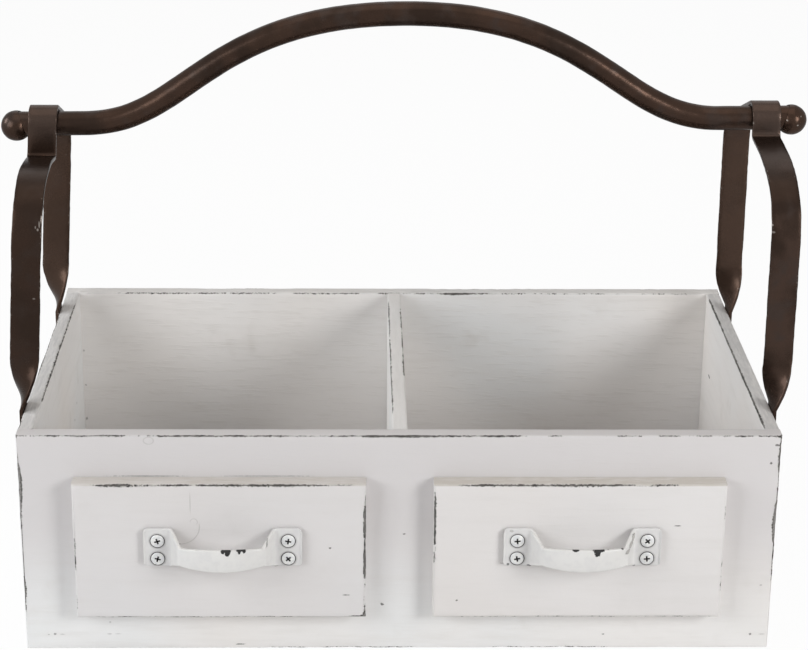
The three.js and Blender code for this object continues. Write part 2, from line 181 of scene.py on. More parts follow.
class Graph:
    """The node tree of one material or world, with one method that makes any node."""

    def __init__(self, owner: Union[bpy.types.Material, bpy.types.World]) -> None:
        """Empties the owner's node tree, to build in it."""
        owner.use_nodes = True
        self.owner = owner
        self.tree = owner.node_tree
        self.tree.nodes.clear()

    @classmethod
    def of_material(cls, name: str) -> "Graph":
        """The graph of a new material of that name."""
        return cls(bpy.data.materials.new(name))

    @staticmethod
    def find(sockets: Iterable[bpy.types.NodeSocket], key: Union[str, int]) -> bpy.types.NodeSocket:
        """A socket by its number, identifier or name.

        Args:
            sockets: A node's inputs or outputs.
            key: The number, identifier or name.

        Returns:
            The first socket that fits.
        """
        if isinstance(key, int):
            return sockets[key]
        for trait in ("identifier", "name"):
            for socket in sockets:
                if getattr(socket, trait) == key:
                    return socket
        raise KeyError(key)

    def node(self, kind: str, sockets: dict | None = None, **settings: str) -> Made:
        """Makes any node.

        Args:
            kind: The node's type.
            sockets: Values or wires for its inputs, by number, identifier or name.
            **settings: The node's own settings, which are set first.

        Returns:
            The node, whose outputs are read by name.
        """
        made = self.tree.nodes.new(kind)
        for key, value in settings.items():
            setattr(made, key, value)
        for key, value in (sockets or {}).items():
            socket = self.find(made.inputs, key)
            if isinstance(value, Wire):
                self.tree.links.new(value.socket, socket)
            elif hasattr(value, "__len__") and len(value) < len(socket.default_value):
                socket.default_value = (*value, 1.0)
            else:
                socket.default_value = value
        return Made(self, made)

    def place(self) -> Wire:
        """The point that is shaded, in the object's own frame."""
        return self.node("ShaderNodeTexCoord")["Object"]

    def axes(self, place: Wire) -> tuple[Wire, Wire, Wire]:
        """The three coordinates of a point."""
        split = self.node("ShaderNodeSeparateXYZ", {"Vector": place})
        return split["X"], split["Y"], split["Z"]

    def stretch(self, place: Wire, scale: Point) -> Wire:
        """The point scaled along each axis, to draw a pattern out along the grain."""
        return self.node("ShaderNodeMapping", {"Vector": place, "Scale": scale})["Vector"]

    def speckle(self, place: Wire, scale: float, detail: float, shift: float = 0.0) -> Wire:
        """Smooth random values round a half.

        Args:
            place: The point to read at.
            scale: How many features a metre.
            detail: How many finer layers.
            shift: Moves the pattern, so that two patterns of one scale differ.

        Returns:
            The value, mostly from 0.2 to 0.8.
        """
        moved = self.node("ShaderNodeMapping", {"Vector": place, "Location": (shift, shift, -shift)})
        sockets = {"Vector": moved["Vector"], "Scale": scale, "Detail": detail, "Roughness": 0.6}
        return self.node("ShaderNodeTexNoise", sockets)["Fac"]

    def _vectors(self, operation: str, *values: Value) -> Made:
        """A Vector Math node of that operation on the values, in order."""
        return self.node("ShaderNodeVectorMath", dict(enumerate(values)), operation=operation)

    def blob(self, place: Wire, centre: Point, reach: Point) -> Wire:
        """How deep a point lies in an ellipsoid: 1 at its centre, 0 at its skin, negative outside."""
        offset = self._vectors("SUBTRACT", place, centre)["Vector"]
        shares = self._vectors("DIVIDE", offset, reach)["Vector"]
        return 1 - self._vectors("LENGTH", shares)["Value"]

    def inside(self, place: Wire, patch: "Patch", ragged: Wire, fray: float) -> Wire:
        """How deep a point lies in a patch whose skin is frayed by a random pattern."""
        return self.blob(place, patch.centre, patch.reach) + ragged.sway(fray)

    def loop(self, place: Wire, loop: "Loop") -> Wire:
        """1 on the line of a ring and 0 off it, inside the ring's window."""
        ring, window = loop.ring, loop.window
        radius = 1 - self.blob(place, ring.centre, ring.reach)
        line = 1 - (radius - 1).size() * (ring.reach[0] / loop.width)
        return line.most(0) * self.blob(place, window.centre, window.reach).rise(0, 0.3) * ring.gain

    def blend(self, under: Value, *coats: tuple[Value, Value]) -> Wire:
        """A colour with others laid over it in turn.

        Args:
            under: The colour at the bottom.
            *coats: Each coat's colour, and how much of it shows, from 0 to 1.

        Returns:
            The colour at the top.
        """
        for over, share in coats:
            sockets = {"Factor_Float": share, "A_Color": under, "B_Color": over}
            under = self.node("ShaderNodeMix", sockets, data_type="RGBA")["Result_Color"]
        return under

    def relief(self, *layers: tuple[Wire, float]) -> Wire:
        """A normal with bumps laid over one another.

        Args:
            *layers: Each layer's height, from 0 to 1, and the real height of 1, in metres.

        Returns:
            The normal.
        """
        sockets: dict = {}
        for height, depth in layers:
            sockets |= {"Height": height, "Distance": depth, "Strength": 1.0}
            sockets["Normal"] = self.node("ShaderNodeBump", sockets)["Normal"]
        return sockets["Normal"]

    def surface(self, **sockets: Value) -> bpy.types.Material:
        """Closes the graph with a Principled shader.

        Args:
            **sockets: The shader's inputs, with _ for a space.

        Returns:
            The finished material.
        """
        named = {key.replace("_", " "): value for key, value in sockets.items()}
        shader = self.node("ShaderNodeBsdfPrincipled", named)["BSDF"]
        self.node("ShaderNodeOutputMaterial", {"Surface": shader})
        return self.owner


class Axis(Enum):
    """The direction that an arris runs in."""

    X = 0
    Y = 1
    Z = 2


class Side(Enum):
    """A face of an upright box, as its axis and its direction along it."""

    LEFT = (0, -1)
    RIGHT = (0, 1)
    FRONT = (1, -1)
    BACK = (1, 1)
    UNDER = (2, -1)
    TOP = (2, 1)

    def level(self, low: Vector, high: Vector) -> float:
        """Where this face lies along its axis."""
        axis, direction = self.value
        return (high if direction > 0 else low)[axis]

    def gap(self, point: Vector, low: Vector, high: Vector) -> float:
        """How far inside this face a point lies."""
        axis, direction = self.value
        return direction * (self.level(low, high) - point[axis])


class Grain(Enum):
    """The way a board's grain and its brush strokes run, as a stretch of the pattern."""

    ALONG_X = (0.12, 1.0, 1.0)
    ALONG_Y = (1.0, 0.12, 1.0)


@dataclass(frozen=True)
class Patch:
    """A place with its own wear: an ellipsoid, and how worn it is."""

    FADE: ClassVar[float] = 0.35

    centre: Point
    reach: Point
    gain: float

    @classmethod
    def in_mm(cls, centre: Sequence[float], reach: Sequence[float], gain: float) -> "Patch":
        """A patch whose centre and reach are written in millimetres."""
        return cls(tuple(millimetres(*centre)), tuple(millimetres(*reach)), gain)

    def wear_at(self, point: Vector) -> float:
        """The wear at a point: full over most of the patch, and falling to 0 at its skin."""
        offset = Vector((point[axis] - self.centre[axis]) / self.reach[axis] for axis in range(3))
        return self.gain * smooth(clamp((1 - offset.length) / self.FADE))


@dataclass(frozen=True)
class Loop:
    """A thin line round an ellipse on a face that looks to the front, seen only in a window."""

    ring: Patch
    window: Patch
    width: float


def worn(axis: Axis, edge: Pair, *stretches: Stretch) -> tuple[Patch, ...]:
    """Worn stretches of one arris.

    Args:
        axis: The axis that the arris runs along.
        edge: Its place on the two other axes, in millimetres.
        *stretches: Where each stretch starts and ends, in millimetres, and its gain.

    Returns:
        A patch for each stretch.
    """
    across, share, margin = 4.0, 0.6, 1.5
    patches = []
    for start, end, gain in stretches:
        centre, reach = [*edge], [across, across]
        centre.insert(axis.value, (start + end) / 2)
        reach.insert(axis.value, abs(end - start) * share + margin)
        patches.append(Patch.in_mm(centre, reach, gain))
    return tuple(patches)


def spots(depth: float, *places: Spot, through: float = 1.0) -> tuple[Patch, ...]:
    """Small marks on a face that looks to the front.

    Args:
        depth: The face's place along Y, in millimetres.
        *places: Each mark's X, Z, reach along X, reach along Z, in millimetres, and its gain.
        through: How far the marks reach along Y, in millimetres.

    Returns:
        A patch for each mark.
    """
    return tuple(
        Patch.in_mm((x, depth, z), (across, through, up), gain)
        for x, z, across, up, gain in places
    )


def loop(depth: float, ring: Spot, window: Spot, width: float) -> Loop:
    """A ring on a face that looks to the front.

    Args:
        depth: The face's place along Y, in millimetres.
        ring: The ring's X, Z and two radii in millimetres, and its gain.
        window: The same for the ellipse that the ring is seen in.
        width: Half the width of the ring's line, in millimetres.

    Returns:
        The loop.
    """
    return Loop(*spots(depth, ring, window, through=100.0), width * MM)


@dataclass(frozen=True)
class Marks:
    """What sets one board's paint apart: its chips and scratches, the dirt and painted shade on its upper
    ledge, and a dimming of its colour, which is painted shade where it changes with height.
    """

    specks: tuple[Patch, ...] = ()
    scratches: tuple[Patch, ...] = ()
    loops: tuple[Loop, ...] = ()
    dirt_and_shade: float = 0.0
    dirt_and_shade_colour: Colour = paint_colour(204, 203, 202)
    tone: Pair = (0.0, 0.0)
    ripple: float = 0.12


@dataclass(frozen=True)
class ChalkPaint:
    """Matte white paint over grey primer and dark stained wood, rubbed through along the arrises.

    The mesh's "wear" attribute says how far each place is rubbed.
    """

    name: str
    low: Vector
    high: Vector
    grain: Grain
    marks: Marks
    arris: float
    shift: float

    white: Colour = paint_colour(235, 233, 231)
    warm: Colour = paint_colour(234, 230, 226)
    cool: Colour = paint_colour(231, 232, 232)
    streak: Colour = paint_colour(219, 216, 212)
    stain: Colour = paint_colour(206, 202, 196)
    dim_and_shade: Colour = paint_colour(213, 210, 210)
    primer: Colour = paint_colour(160, 158, 154)
    flaked: Colour = paint_colour(146, 144, 141)
    bare: Colour = paint_colour(100, 97, 94)
    deep: Colour = paint_colour(54, 52, 50)
    rub_width: float = 0.8 * MM
    primer_width: float = 0.3 * MM
    raggedness: float = 2.2 * MM
    ledge: float = 1.1 * MM
    bare_edge: float = 0.2 * MM
    primer_edge: float = 0.3 * MM
    flaked_depth: Pair = (0.5 * MM, 0.8 * MM)
    tone_and_shade_heights: Pair = (5 * MM, 85 * MM)
    cloud_scale: float = 9.0
    stain_scale: float = 34.0
    wander_scale: float = 60.0
    stroke_scale: float = 170.0
    coarse_scale: float = 330.0
    ripple_scale: float = 520.0
    ragged_scale: float = 1100.0
    pit_scale: float = 1400.0
    stroke_depth: float = 0.08 * MM
    ripple_depth: float = 0.22 * MM
    pit_depth: float = 0.03 * MM
    coat_depth: float = 0.12 * MM

    def _arris_distance(self, graph: Graph, place: Wire) -> Wire:
        """How far the point is from the nearest arris: the middle one of its depths below the faces."""
        first, second, third = (
            (value - low).least(high - value)
            for value, low, high in zip(graph.axes(place), self.low, self.high)
        )
        return first.least(second).most(first.most(second).least(third))

    def _layers(self, graph: Graph, place: Wire, ragged: Wire, coarse: Wire) -> tuple[Wire, Wire, Wire]:
        """How far the rubbing has come through the paint.

        Args:
            graph: The paint's graph.
            place: The point that is shaded.
            ragged: Fine random values, which fray the edge of what is rubbed.
            coarse: Coarser ones, which make it wander.

        Returns:
            The shares of bare wood, of primer, and of flakes left on the bare wood.
        """
        wander = graph.speckle(place, self.wander_scale, 2, self.shift)
        wear = graph.node("ShaderNodeAttribute", attribute_name="wear")["Fac"]
        rubbed = wander.sway(1.0) + coarse.sway(1.5) + wear
        reach = rubbed.most(0).least(3.0) * self.rub_width
        edge = ragged.sway(self.raggedness)
        depth = reach + edge + 0.25 * self.arris - self._arris_distance(graph, place)
        live = reach.rise(0, 0.3 * self.rub_width)
        bare = depth.rise(0, self.bare_edge) * live
        for speck in self.marks.specks:
            bare = bare.most(graph.inside(place, speck, ragged, 1.4).rise(0.1, 0.45) * speck.gain)
        primer = (depth + self.primer_width).rise(0, self.primer_edge) * live
        return bare, primer, depth.rise(*self.flaked_depth) * ragged.rise(0.62, 0.5)

    def _groove(self, graph: Graph, place: Wire, ragged: Wire) -> Value:
        """How deep the scratches and rings cut, from 0 to 1, or a plain 0 where there are none."""
        groove: Value = 0.0
        for scratch in self.marks.scratches:
            groove = graph.inside(place, scratch, ragged, 0.5).rise(0.05, 0.5) * scratch.gain + groove
        for ring in self.marks.loops:
            groove = graph.loop(place, ring) + groove
        return groove

    def _white(self, graph: Graph, place: Wire, strokes: Wire) -> Wire:
        """The sound paint's colour: mottled and streaked, with painted shade that follows height, and dirt
        with painted shade on its upper ledge.
        """
        marks, height = self.marks, graph.axes(place)[2]
        clouds = graph.speckle(place, self.cloud_scale, 1, self.shift)
        stains = graph.speckle(place, self.stain_scale, 3, self.shift + 3.7)
        white = graph.blend(
            self.white,
            (self.warm, clouds.rise(0.45, 0.75)),
            (self.cool, clouds.rise(0.5, 0.25)),
            (self.streak, strokes.rise(0.45, 0.8) * 0.35),
            (self.stain, stains.rise(0.58, 0.85) * 0.45),
        )
        # Painted shade where the two shares differ: the colour dims with height, towards the top on the
        # front board and towards the foot on the back and right end boards. Equal shares give an even
        # dimming.
        if any(marks.tone):
            foot, rim = marks.tone
            white = graph.blend(white, (self.dim_and_shade, height.rise(*self.tone_and_shade_heights) * (rim - foot) + foot))
        if not marks.dirt_and_shade:
            return white
        # Dirt and painted shade: the top face and the top of the arrises darken, streaked by the brush
        # strokes.
        upper = (height - (self.high.z - self.ledge)).rise(0, self.ledge / 2)
        fine = graph.speckle(graph.stretch(place, self.grain.value), self.ragged_scale, 3, self.shift)
        share = (0.85 + strokes.sway(1.4) + fine.sway(2.2)) * marks.dirt_and_shade
        return graph.blend(white, (marks.dirt_and_shade_colour, (upper * share).least(1).most(0)))

    def build(self) -> bpy.types.Material:
        """Builds the material.

        Returns:
            The paint, with its wear, brush marks and stains.
        """
        graph = Graph.of_material(self.name)
        place = graph.place()
        along = graph.stretch(place, self.grain.value)
        ragged = graph.speckle(place, self.ragged_scale, 3, self.shift)
        coarse = graph.speckle(place, self.coarse_scale, 3, self.shift)
        strokes = graph.speckle(along, self.stroke_scale, 4, self.shift)
        ripples = graph.speckle(along, self.ripple_scale, 2, self.shift + 1.9).rise(0.5, 0.72)
        pits = graph.speckle(place, self.pit_scale, 2, self.shift)
        bare, primer, flaked = self._layers(graph, place, ragged, coarse)
        groove = self._groove(graph, place, ragged)
        wood = graph.blend(self.bare, (self.deep, coarse.rise(0.42, 0.6)), (self.flaked, flaked * 0.9))
        coats = [
            (self.stain, ripples * 0.35 * self.marks.ripple),
            (self.primer, primer * 0.8),
            (wood, bare),
        ]
        if self.marks.scratches or self.marks.loops:
            coats.append((self.primer, groove * 0.45))
        return graph.surface(
            Base_Color=graph.blend(self._white(graph, place, strokes), *coats),
            Roughness=0.72 + strokes.sway(0.2) + bare * 0.1,
            Normal=graph.relief(
                (strokes, self.stroke_depth),
                (ripples, self.ripple_depth * self.marks.ripple),
                (pits, self.pit_depth),
                (1 - primer * 0.6 - bare * 0.4 - groove, self.coat_depth),
            ),
            Specular_IOR_Level=0.25,
        )


@dataclass(frozen=True)
class PullEnamel:
    """Glossier white enamel on stamped sheet, chipped to black along the bow's upper edge."""

    name: str
    chips: tuple[Patch, ...]
    rubs: tuple[Patch, ...]
    rings: tuple[Patch, ...]

    white: Colour = paint_colour(224, 223, 221)
    dull: Colour = paint_colour(206, 205, 206)
    # Painted shade: the colour of the flat plates, darker than the bow.
    plate: Colour = paint_colour(202, 201, 204)
    recess_shade: Colour = paint_colour(120, 118, 118)
    rubbed: Colour = paint_colour(178, 174, 168)
    black: Colour = paint_colour(12, 11, 11)
    plate_shade_depths: Pair = (-128 * MM, -124.5 * MM)
    ragged_scale: float = 1100.0
    lump_scale: float = 220.0
    lump_depth: float = 0.06 * MM
    chip_depth: float = 0.15 * MM

    def build(self) -> bpy.types.Material:
        """Builds the material.

        Returns:
            The enamel, with its chips and thin places.
        """
        graph = Graph.of_material(self.name)
        place = graph.place()
        ragged = graph.speckle(place, self.ragged_scale, 3)
        lumps = graph.speckle(place, self.lump_scale, 2)
        flat = graph.axes(place)[1].rise(*self.plate_shade_depths)
        # Painted shade: the plates, which lie flat on the panel, are darker than the bow.
        coats = [(self.dull, lumps.rise(0.4, 0.75) * 0.3), (self.plate, flat * (0.6 + lumps.sway(0.8)))]
        # Painted shade: a darker ring round each screw head, where the seat's gap lies in shadow.
        for ring in self.rings:
            coats.append((self.recess_shade, graph.inside(place, ring, ragged, 0.15).rise(0.0, 0.3) * ring.gain))
        chipped: Value = 0.0
        for chip in self.chips:
            chipped = (graph.inside(place, chip, ragged, 1.1).rise(0.12, 0.2) * chip.gain).most(chipped)
        for rub in self.rubs:
            inside = graph.inside(place, rub, ragged, 1.3)
            coats.append((self.rubbed, inside.rise(0.1, 0.3) * rub.gain))
            chipped = (inside.rise(0.1, 0.2) * inside.rise(0.4, 0.25) * rub.gain * 0.8).most(chipped)
        return graph.surface(
            Base_Color=graph.blend(self.white, *coats, (self.black, chipped)),
            Roughness=0.22 + lumps.sway(0.1) + chipped * 0.4,
            Normal=graph.relief((lumps, self.lump_depth), (1 - chipped, self.chip_depth)),
            Specular_IOR_Level=0.45,
        )


@dataclass(frozen=True)
class ForgedIron:
    """Dark brown satin paint on hammered iron, with pits and bright worn places at the edges. On the hoops,
    light and shade are painted by place; bright spots are worn metal on the hoops and painted highlights on
    the rail's ball.
    """

    name: str
    edges: bool
    # Places that show bright: worn metal on the hoops, painted highlights on the rail's ball.
    bright_spots: tuple[Patch, ...]

    brown: Colour = paint_colour(61, 46, 38)
    dark: Colour = paint_colour(47, 36, 30)
    slate: Colour = paint_colour(59, 50, 46)
    # Painted highlight on the crown's top.
    crown: Colour = paint_colour(75, 63, 57)
    back_leg_light: Colour = paint_colour(75, 59, 50)
    bright: Colour = paint_colour(150, 142, 136)
    # Share of painted shade on the front legs.
    shade: float = 0.6
    glance: Colour = (0.5, 0.5, 0.5)
    leg_shading_heights: Pair = (246 * MM, 226 * MM)
    crown_light_heights: Pair = (248 * MM, 260 * MM)
    run_shade_heights: Pair = (232 * MM, 244 * MM)
    run_shade_depths: Pair = (-8 * MM, -12 * MM)
    leg_shading_depth: float = 30 * MM
    cloud_scale: float = 28.0
    dent_scale: float = 75.0
    grit_scale: float = 700.0
    fine_scale: float = 2300.0
    dent_relief: float = 0.25 * MM
    grit_relief: float = 0.05 * MM

    def build(self) -> bpy.types.Material:
        """Builds the material.

        Returns:
            The iron's finish.
        """
        graph = Graph.of_material(self.name)
        place = graph.place()
        clouds = graph.speckle(place, self.cloud_scale, 3)
        dents = graph.speckle(place, self.dent_scale, 2, 1.3)
        grit = graph.speckle(place, self.grit_scale, 3)
        fine = graph.speckle(place, self.fine_scale, 2)
        coats = [(self.dark, clouds.rise(0.42, 0.62)), (self.slate, dents.rise(0.5, 0.72) * 0.7)]
        wear_and_glint_share = grit.rise(0.74, 0.78) * clouds.rise(0.5, 0.62)
        if self.edges:
            rim = graph.node("ShaderNodeAttribute", attribute_name="rim")["Fac"]
            wear_and_glint_share = wear_and_glint_share.most(rim.rise(0.82, 0.97) * grit.rise(0.6, 0.66) * dents.rise(0.48, 0.6))
            _, depth, height = graph.axes(place)
            leg = height.rise(*self.leg_shading_heights)
            # Painted light and shade by place: the crown's top lighter, the back legs lighter, the front
            # legs darker by the shade share, and the top of the front run darker.
            coats += [
                (self.crown, height.rise(*self.crown_light_heights) * 0.6),
                (self.back_leg_light, depth.rise(0, self.leg_shading_depth) * leg * 0.6),
                (self.dark, depth.rise(0, -self.leg_shading_depth) * leg * self.shade),
                (self.dark, depth.rise(*self.run_shade_depths) * height.rise(*self.run_shade_heights) * 0.7),
            ]
        # Bright spots: worn metal on the hoops, painted highlights on the right ball.
        for bright_spot in self.bright_spots:
            wear_and_glint_share = wear_and_glint_share.most(graph.inside(place, bright_spot, grit, 0.9).rise(0.15, 0.4) * bright_spot.gain)
        return graph.surface(
            Base_Color=graph.blend(self.brown, *coats, (self.bright, wear_and_glint_share * 0.7)),
            Roughness=0.27 + clouds.sway(0.25) + fine.sway(0.1),
            Metallic=0.65 + wear_and_glint_share * 0.1,
            Normal=graph.relief((dents, self.dent_relief), (grit, self.grit_relief)),
            Specular_IOR_Level=0.2,
            Specular_Tint=self.glance,
        )


@dataclass(frozen=True)
class BrightScrew:
    """Plated steel with fine turning marks, dulled by paint smears."""

    name: str
    plate: Colour = paint_colour(214, 215, 216)
    smear: Colour = paint_colour(232, 232, 230)
    smear_scale: float = 420.0
    fine_scale: float = 2600.0
    fine_relief: float = 0.02 * MM

    def build(self) -> bpy.types.Material:
        """Builds the material."""
        graph = Graph.of_material(self.name)
        place = graph.place()
        smears = graph.speckle(place, self.smear_scale, 3)
        fine = graph.speckle(place, self.fine_scale, 2)
        return graph.surface(
            Base_Color=graph.blend(self.plate, (self.smear, smears.rise(0.4, 0.6))),
            Roughness=0.3 + smears * 0.25,
            Metallic=smears.rise(0.6, 0.4) * 0.55,
            Normal=graph.relief((fine, self.fine_relief)),
        )


@dataclass(frozen=True)
class RecessShade:
    """Painted shade for screw recesses and seats: near-black metal laid on the cut faces, where shade falls.
    """

    name: str
    shallow_shade: Colour = paint_colour(42, 40, 39)
    deep_shade: Colour = paint_colour(34, 33, 33)
    grit_scale: float = 1500.0

    def build(self) -> bpy.types.Material:
        """Builds the material."""
        graph = Graph.of_material(self.name)
        grit = graph.speckle(graph.place(), self.grit_scale, 2)
        colour = graph.blend(self.shallow_shade, (self.deep_shade, grit))
        return graph.surface(Base_Color=colour, Roughness=0.45 + grit * 0.3, Metallic=0.4)


def shade(bm: bmesh.types.BMesh) -> None:
    """Shades a mesh smoothly, with every sharp fold left sharp."""
    for face in bm.faces:
        face.smooth = True
    for edge in bm.edges:
        edge.smooth = len(edge.link_faces) != 2 or edge.calc_face_angle(0.0) <= FOLD


def settle(
    name: str, bm: bmesh.types.BMesh, materials: Sequence[bpy.types.Material], node: str
) -> None:
    """Turns a finished bmesh into a piece that stands for a CAD node.

    Args:
        name: The piece's name.
        bm: Its shape, in place; it is freed.
        materials: Its materials, in the order of its faces' numbers.
        node: The CAD node that it replaces.
    """
    shade(bm)
    mesh = bpy.data.meshes.new(name)
    bm.to_mesh(mesh)
    bm.free()
    for material in materials:
        mesh.materials.append(material)
    piece = bpy.data.objects.new(name, mesh)
    bpy.context.scene.collection.objects.link(piece)
    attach(piece, BODY)
    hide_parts(node)
    LOG.info("%s stands for %s, %d faces", name, node, len(mesh.polygons))


def moved(bm: bmesh.types.BMesh, matrix: Matrix) -> bmesh.types.BMesh:
    """Carries a shape to its place."""
    bmesh.ops.transform(bm, matrix=matrix, verts=bm.verts)
    return bm


def block(low: Vector, high: Vector) -> bmesh.types.BMesh:
    """A plain box between two corners."""
    bm = bmesh.new()
    bmesh.ops.create_cube(bm, size=1.0)
    bmesh.ops.scale(bm, vec=high - low, verts=bm.verts)
    bmesh.ops.translate(bm, vec=(low + high) / 2, verts=bm.verts)
    return bm


def rod(radius: float, length: float, sides: int) -> bmesh.types.BMesh:
    """A plain round bar along the Z axis, centred on the origin."""
    bm = bmesh.new()
    bmesh.ops.create_cone(bm, cap_ends=True, segments=sides, radius1=radius, radius2=radius, depth=length)
    return bm


def edges_along(bm: bmesh.types.BMesh, axis: Axis, least: float = TINY) -> list[bmesh.types.BMEdge]:
    """The edges whose ends lie further apart along an axis than a least distance."""
    return [e for e in bm.edges if abs(e.verts[0].co[axis.value] - e.verts[1].co[axis.value]) > least]


def cut_away(bm: bmesh.types.BMesh, cutters: Sequence[bmesh.types.BMesh]) -> bmesh.types.BMesh:
    """Cuts closed shapes out of another, with the cut faces on material 1.

    Args:
        bm: The shape to cut; it is freed.
        cutters: The shapes to take away; they are freed.

    Returns:
        The cut shape.
    """
    objects = []
    for number, part in enumerate((bm, *cutters)):
        for face in part.faces:
            face.material_index = 1 if number else 0
        mesh = bpy.data.meshes.new("cut")
        part.to_mesh(mesh)
        part.free()
        for _ in range(2):
            mesh.materials.append(None)
        thing = bpy.data.objects.new("cut", mesh)
        bpy.context.scene.collection.objects.link(thing)
        objects.append(thing)
    body, *tools = objects
    for tool in tools:
        modifier = body.modifiers.new("cut", "BOOLEAN")
        modifier.operation = "DIFFERENCE"
        modifier.solver = "EXACT"
        modifier.object = tool
    shaped = bpy.data.meshes.new_from_object(body.evaluated_get(bpy.context.evaluated_depsgraph_get()))
    result = bmesh.new()
    result.from_mesh(shaped)
    for thing in objects:
        bpy.data.meshes.remove(thing.data)
    bpy.data.meshes.remove(shaped)
    return result


class Track:
    """A flat line of straight and round stretches, read by its length."""

    def __init__(self, start: Pair) -> None:
        """Starts the line at a point."""
        self.points = [Vector(start)]

    def line(self, end: Pair) -> "Track":
        """Goes straight to a point."""
        self.points.append(Vector(end))
        return self

    def arc(self, centre: Pair, radius: float, turn: Pair) -> "Track":
        """Goes round part of a circle, from one angle to another."""
        first, last = (math.radians(angle) for angle in turn)
        for share in CURVE_SHARES:
            angle = first + (last - first) * share
            self.points.append(Vector(centre) + Vector((math.cos(angle), math.sin(angle))) * radius)
        return self

    def bend(self, corner: Pair, end: Pair) -> "Track":
        """Rounds a corner in one soft curve that ends at a point."""
        start = self.points[-1].copy()
        for t in CURVE_SHARES:
            near = start * (1 - t) ** 2 + Vector(corner) * 2 * t * (1 - t)
            self.points.append(near + Vector(end) * t * t)
        return self

    def swing(self, first: Pair, second: Pair, end: Pair) -> "Track":
        """Swings from one direction into another.

        Args:
            first: The point that the line heads for as it starts.
            second: The point that it comes from as it ends.
            end: The point where it ends.

        Returns:
            The track itself.
        """
        start = self.points[-1].copy()
        for t in CURVE_SHARES:
            near = start * (1 - t) ** 3 + Vector(first) * 3 * t * (1 - t) ** 2
            self.points.append(near + Vector(second) * 3 * t * t * (1 - t) + Vector(end) * t ** 3)
        return self

    def even(self, steps: int) -> list[tuple[Vector, Vector]]:
        """Reads the line at even distances, as points with the line's direction there."""
        return self._read([step / steps for step in range(steps + 1)])

    def eased(self, steps: int) -> list[tuple[Vector, Vector]]:
        """Reads the line at distances that close up towards its two ends."""
        return self._read([0.5 - 0.5 * math.cos(math.pi * step / steps) for step in range(steps + 1)])

    def _read(self, shares: Sequence[float]) -> list[tuple[Vector, Vector]]:
        """Reads the line at shares of its length.

        Args:
            shares: Rising shares, from 0 to 1.

        Returns:
            The points, each with the line's direction there.
        """
        lengths = [0.0]
        for before, after in zip(self.points, self.points[1:]):
            lengths.append(lengths[-1] + (after - before).length)
        places, index = [], 0
        for share in shares:
            wanted = lengths[-1] * share
            while index < len(lengths) - 2 and lengths[index + 1] < wanted:
                index += 1
            span = max(lengths[index + 1] - lengths[index], TINY)
            places.append(self.points[index].lerp(self.points[index + 1], (wanted - lengths[index]) / span))
        read = []
        for step, place in enumerate(places):
            before, after = places[max(0, step - 1)], places[min(len(places) - 1, step + 1)]
            read.append((place, (after - before).normalized()))
        return read


def bar(width: float, thickness: float, eased: float, steps: int, rows: int) -> bmesh.types.BMesh:
    """A flat bar one unit long, its long edges rounded, ready to be carried along a line.

    Args:
        width: Its size along Y.
        thickness: Its size along Z.
        eased: The rounding of its long edges.
        steps: How many stretches it is divided into along X.
        rows: How many columns its width is divided into.

    Returns:
        The bar, from X = 0 to 1, centred on the X axis.
    """
    half = Vector((0.5, width / 2, thickness / 2))
    bm = moved(block(-half, half), Matrix.Translation((0.5, 0, 0)))
    bmesh.ops.bevel(
        bm, geom=edges_along(bm, Axis.X), offset=eased, segments=3, profile=0.5, affect="EDGES",
        material=-1)
    wide = edges_along(bm, Axis.Y, width / 2)
    bmesh.ops.subdivide_edges(bm, edges=wide, cuts=rows - 1, use_grid_fill=False)
    bmesh.ops.subdivide_edges(bm, edges=edges_along(bm, Axis.X), cuts=steps - 1, use_grid_fill=False)
    return bm


def hammer(bm: bmesh.types.BMesh, depth: float, size: float) -> None:
    """Dents a surface gently inwards, as a hammer leaves it.

    Args:
        bm: The shape.
        depth: How deep the dents go.
        size: How wide they are.
    """
    bm.normal_update()
    for vert in bm.verts:
        dent = 0.5 + noise.noise(vert.co / size) * 0.6 + noise.noise(vert.co / (size * 0.37)) * 0.3
        vert.co -= vert.normal * max(0.0, dent) * depth


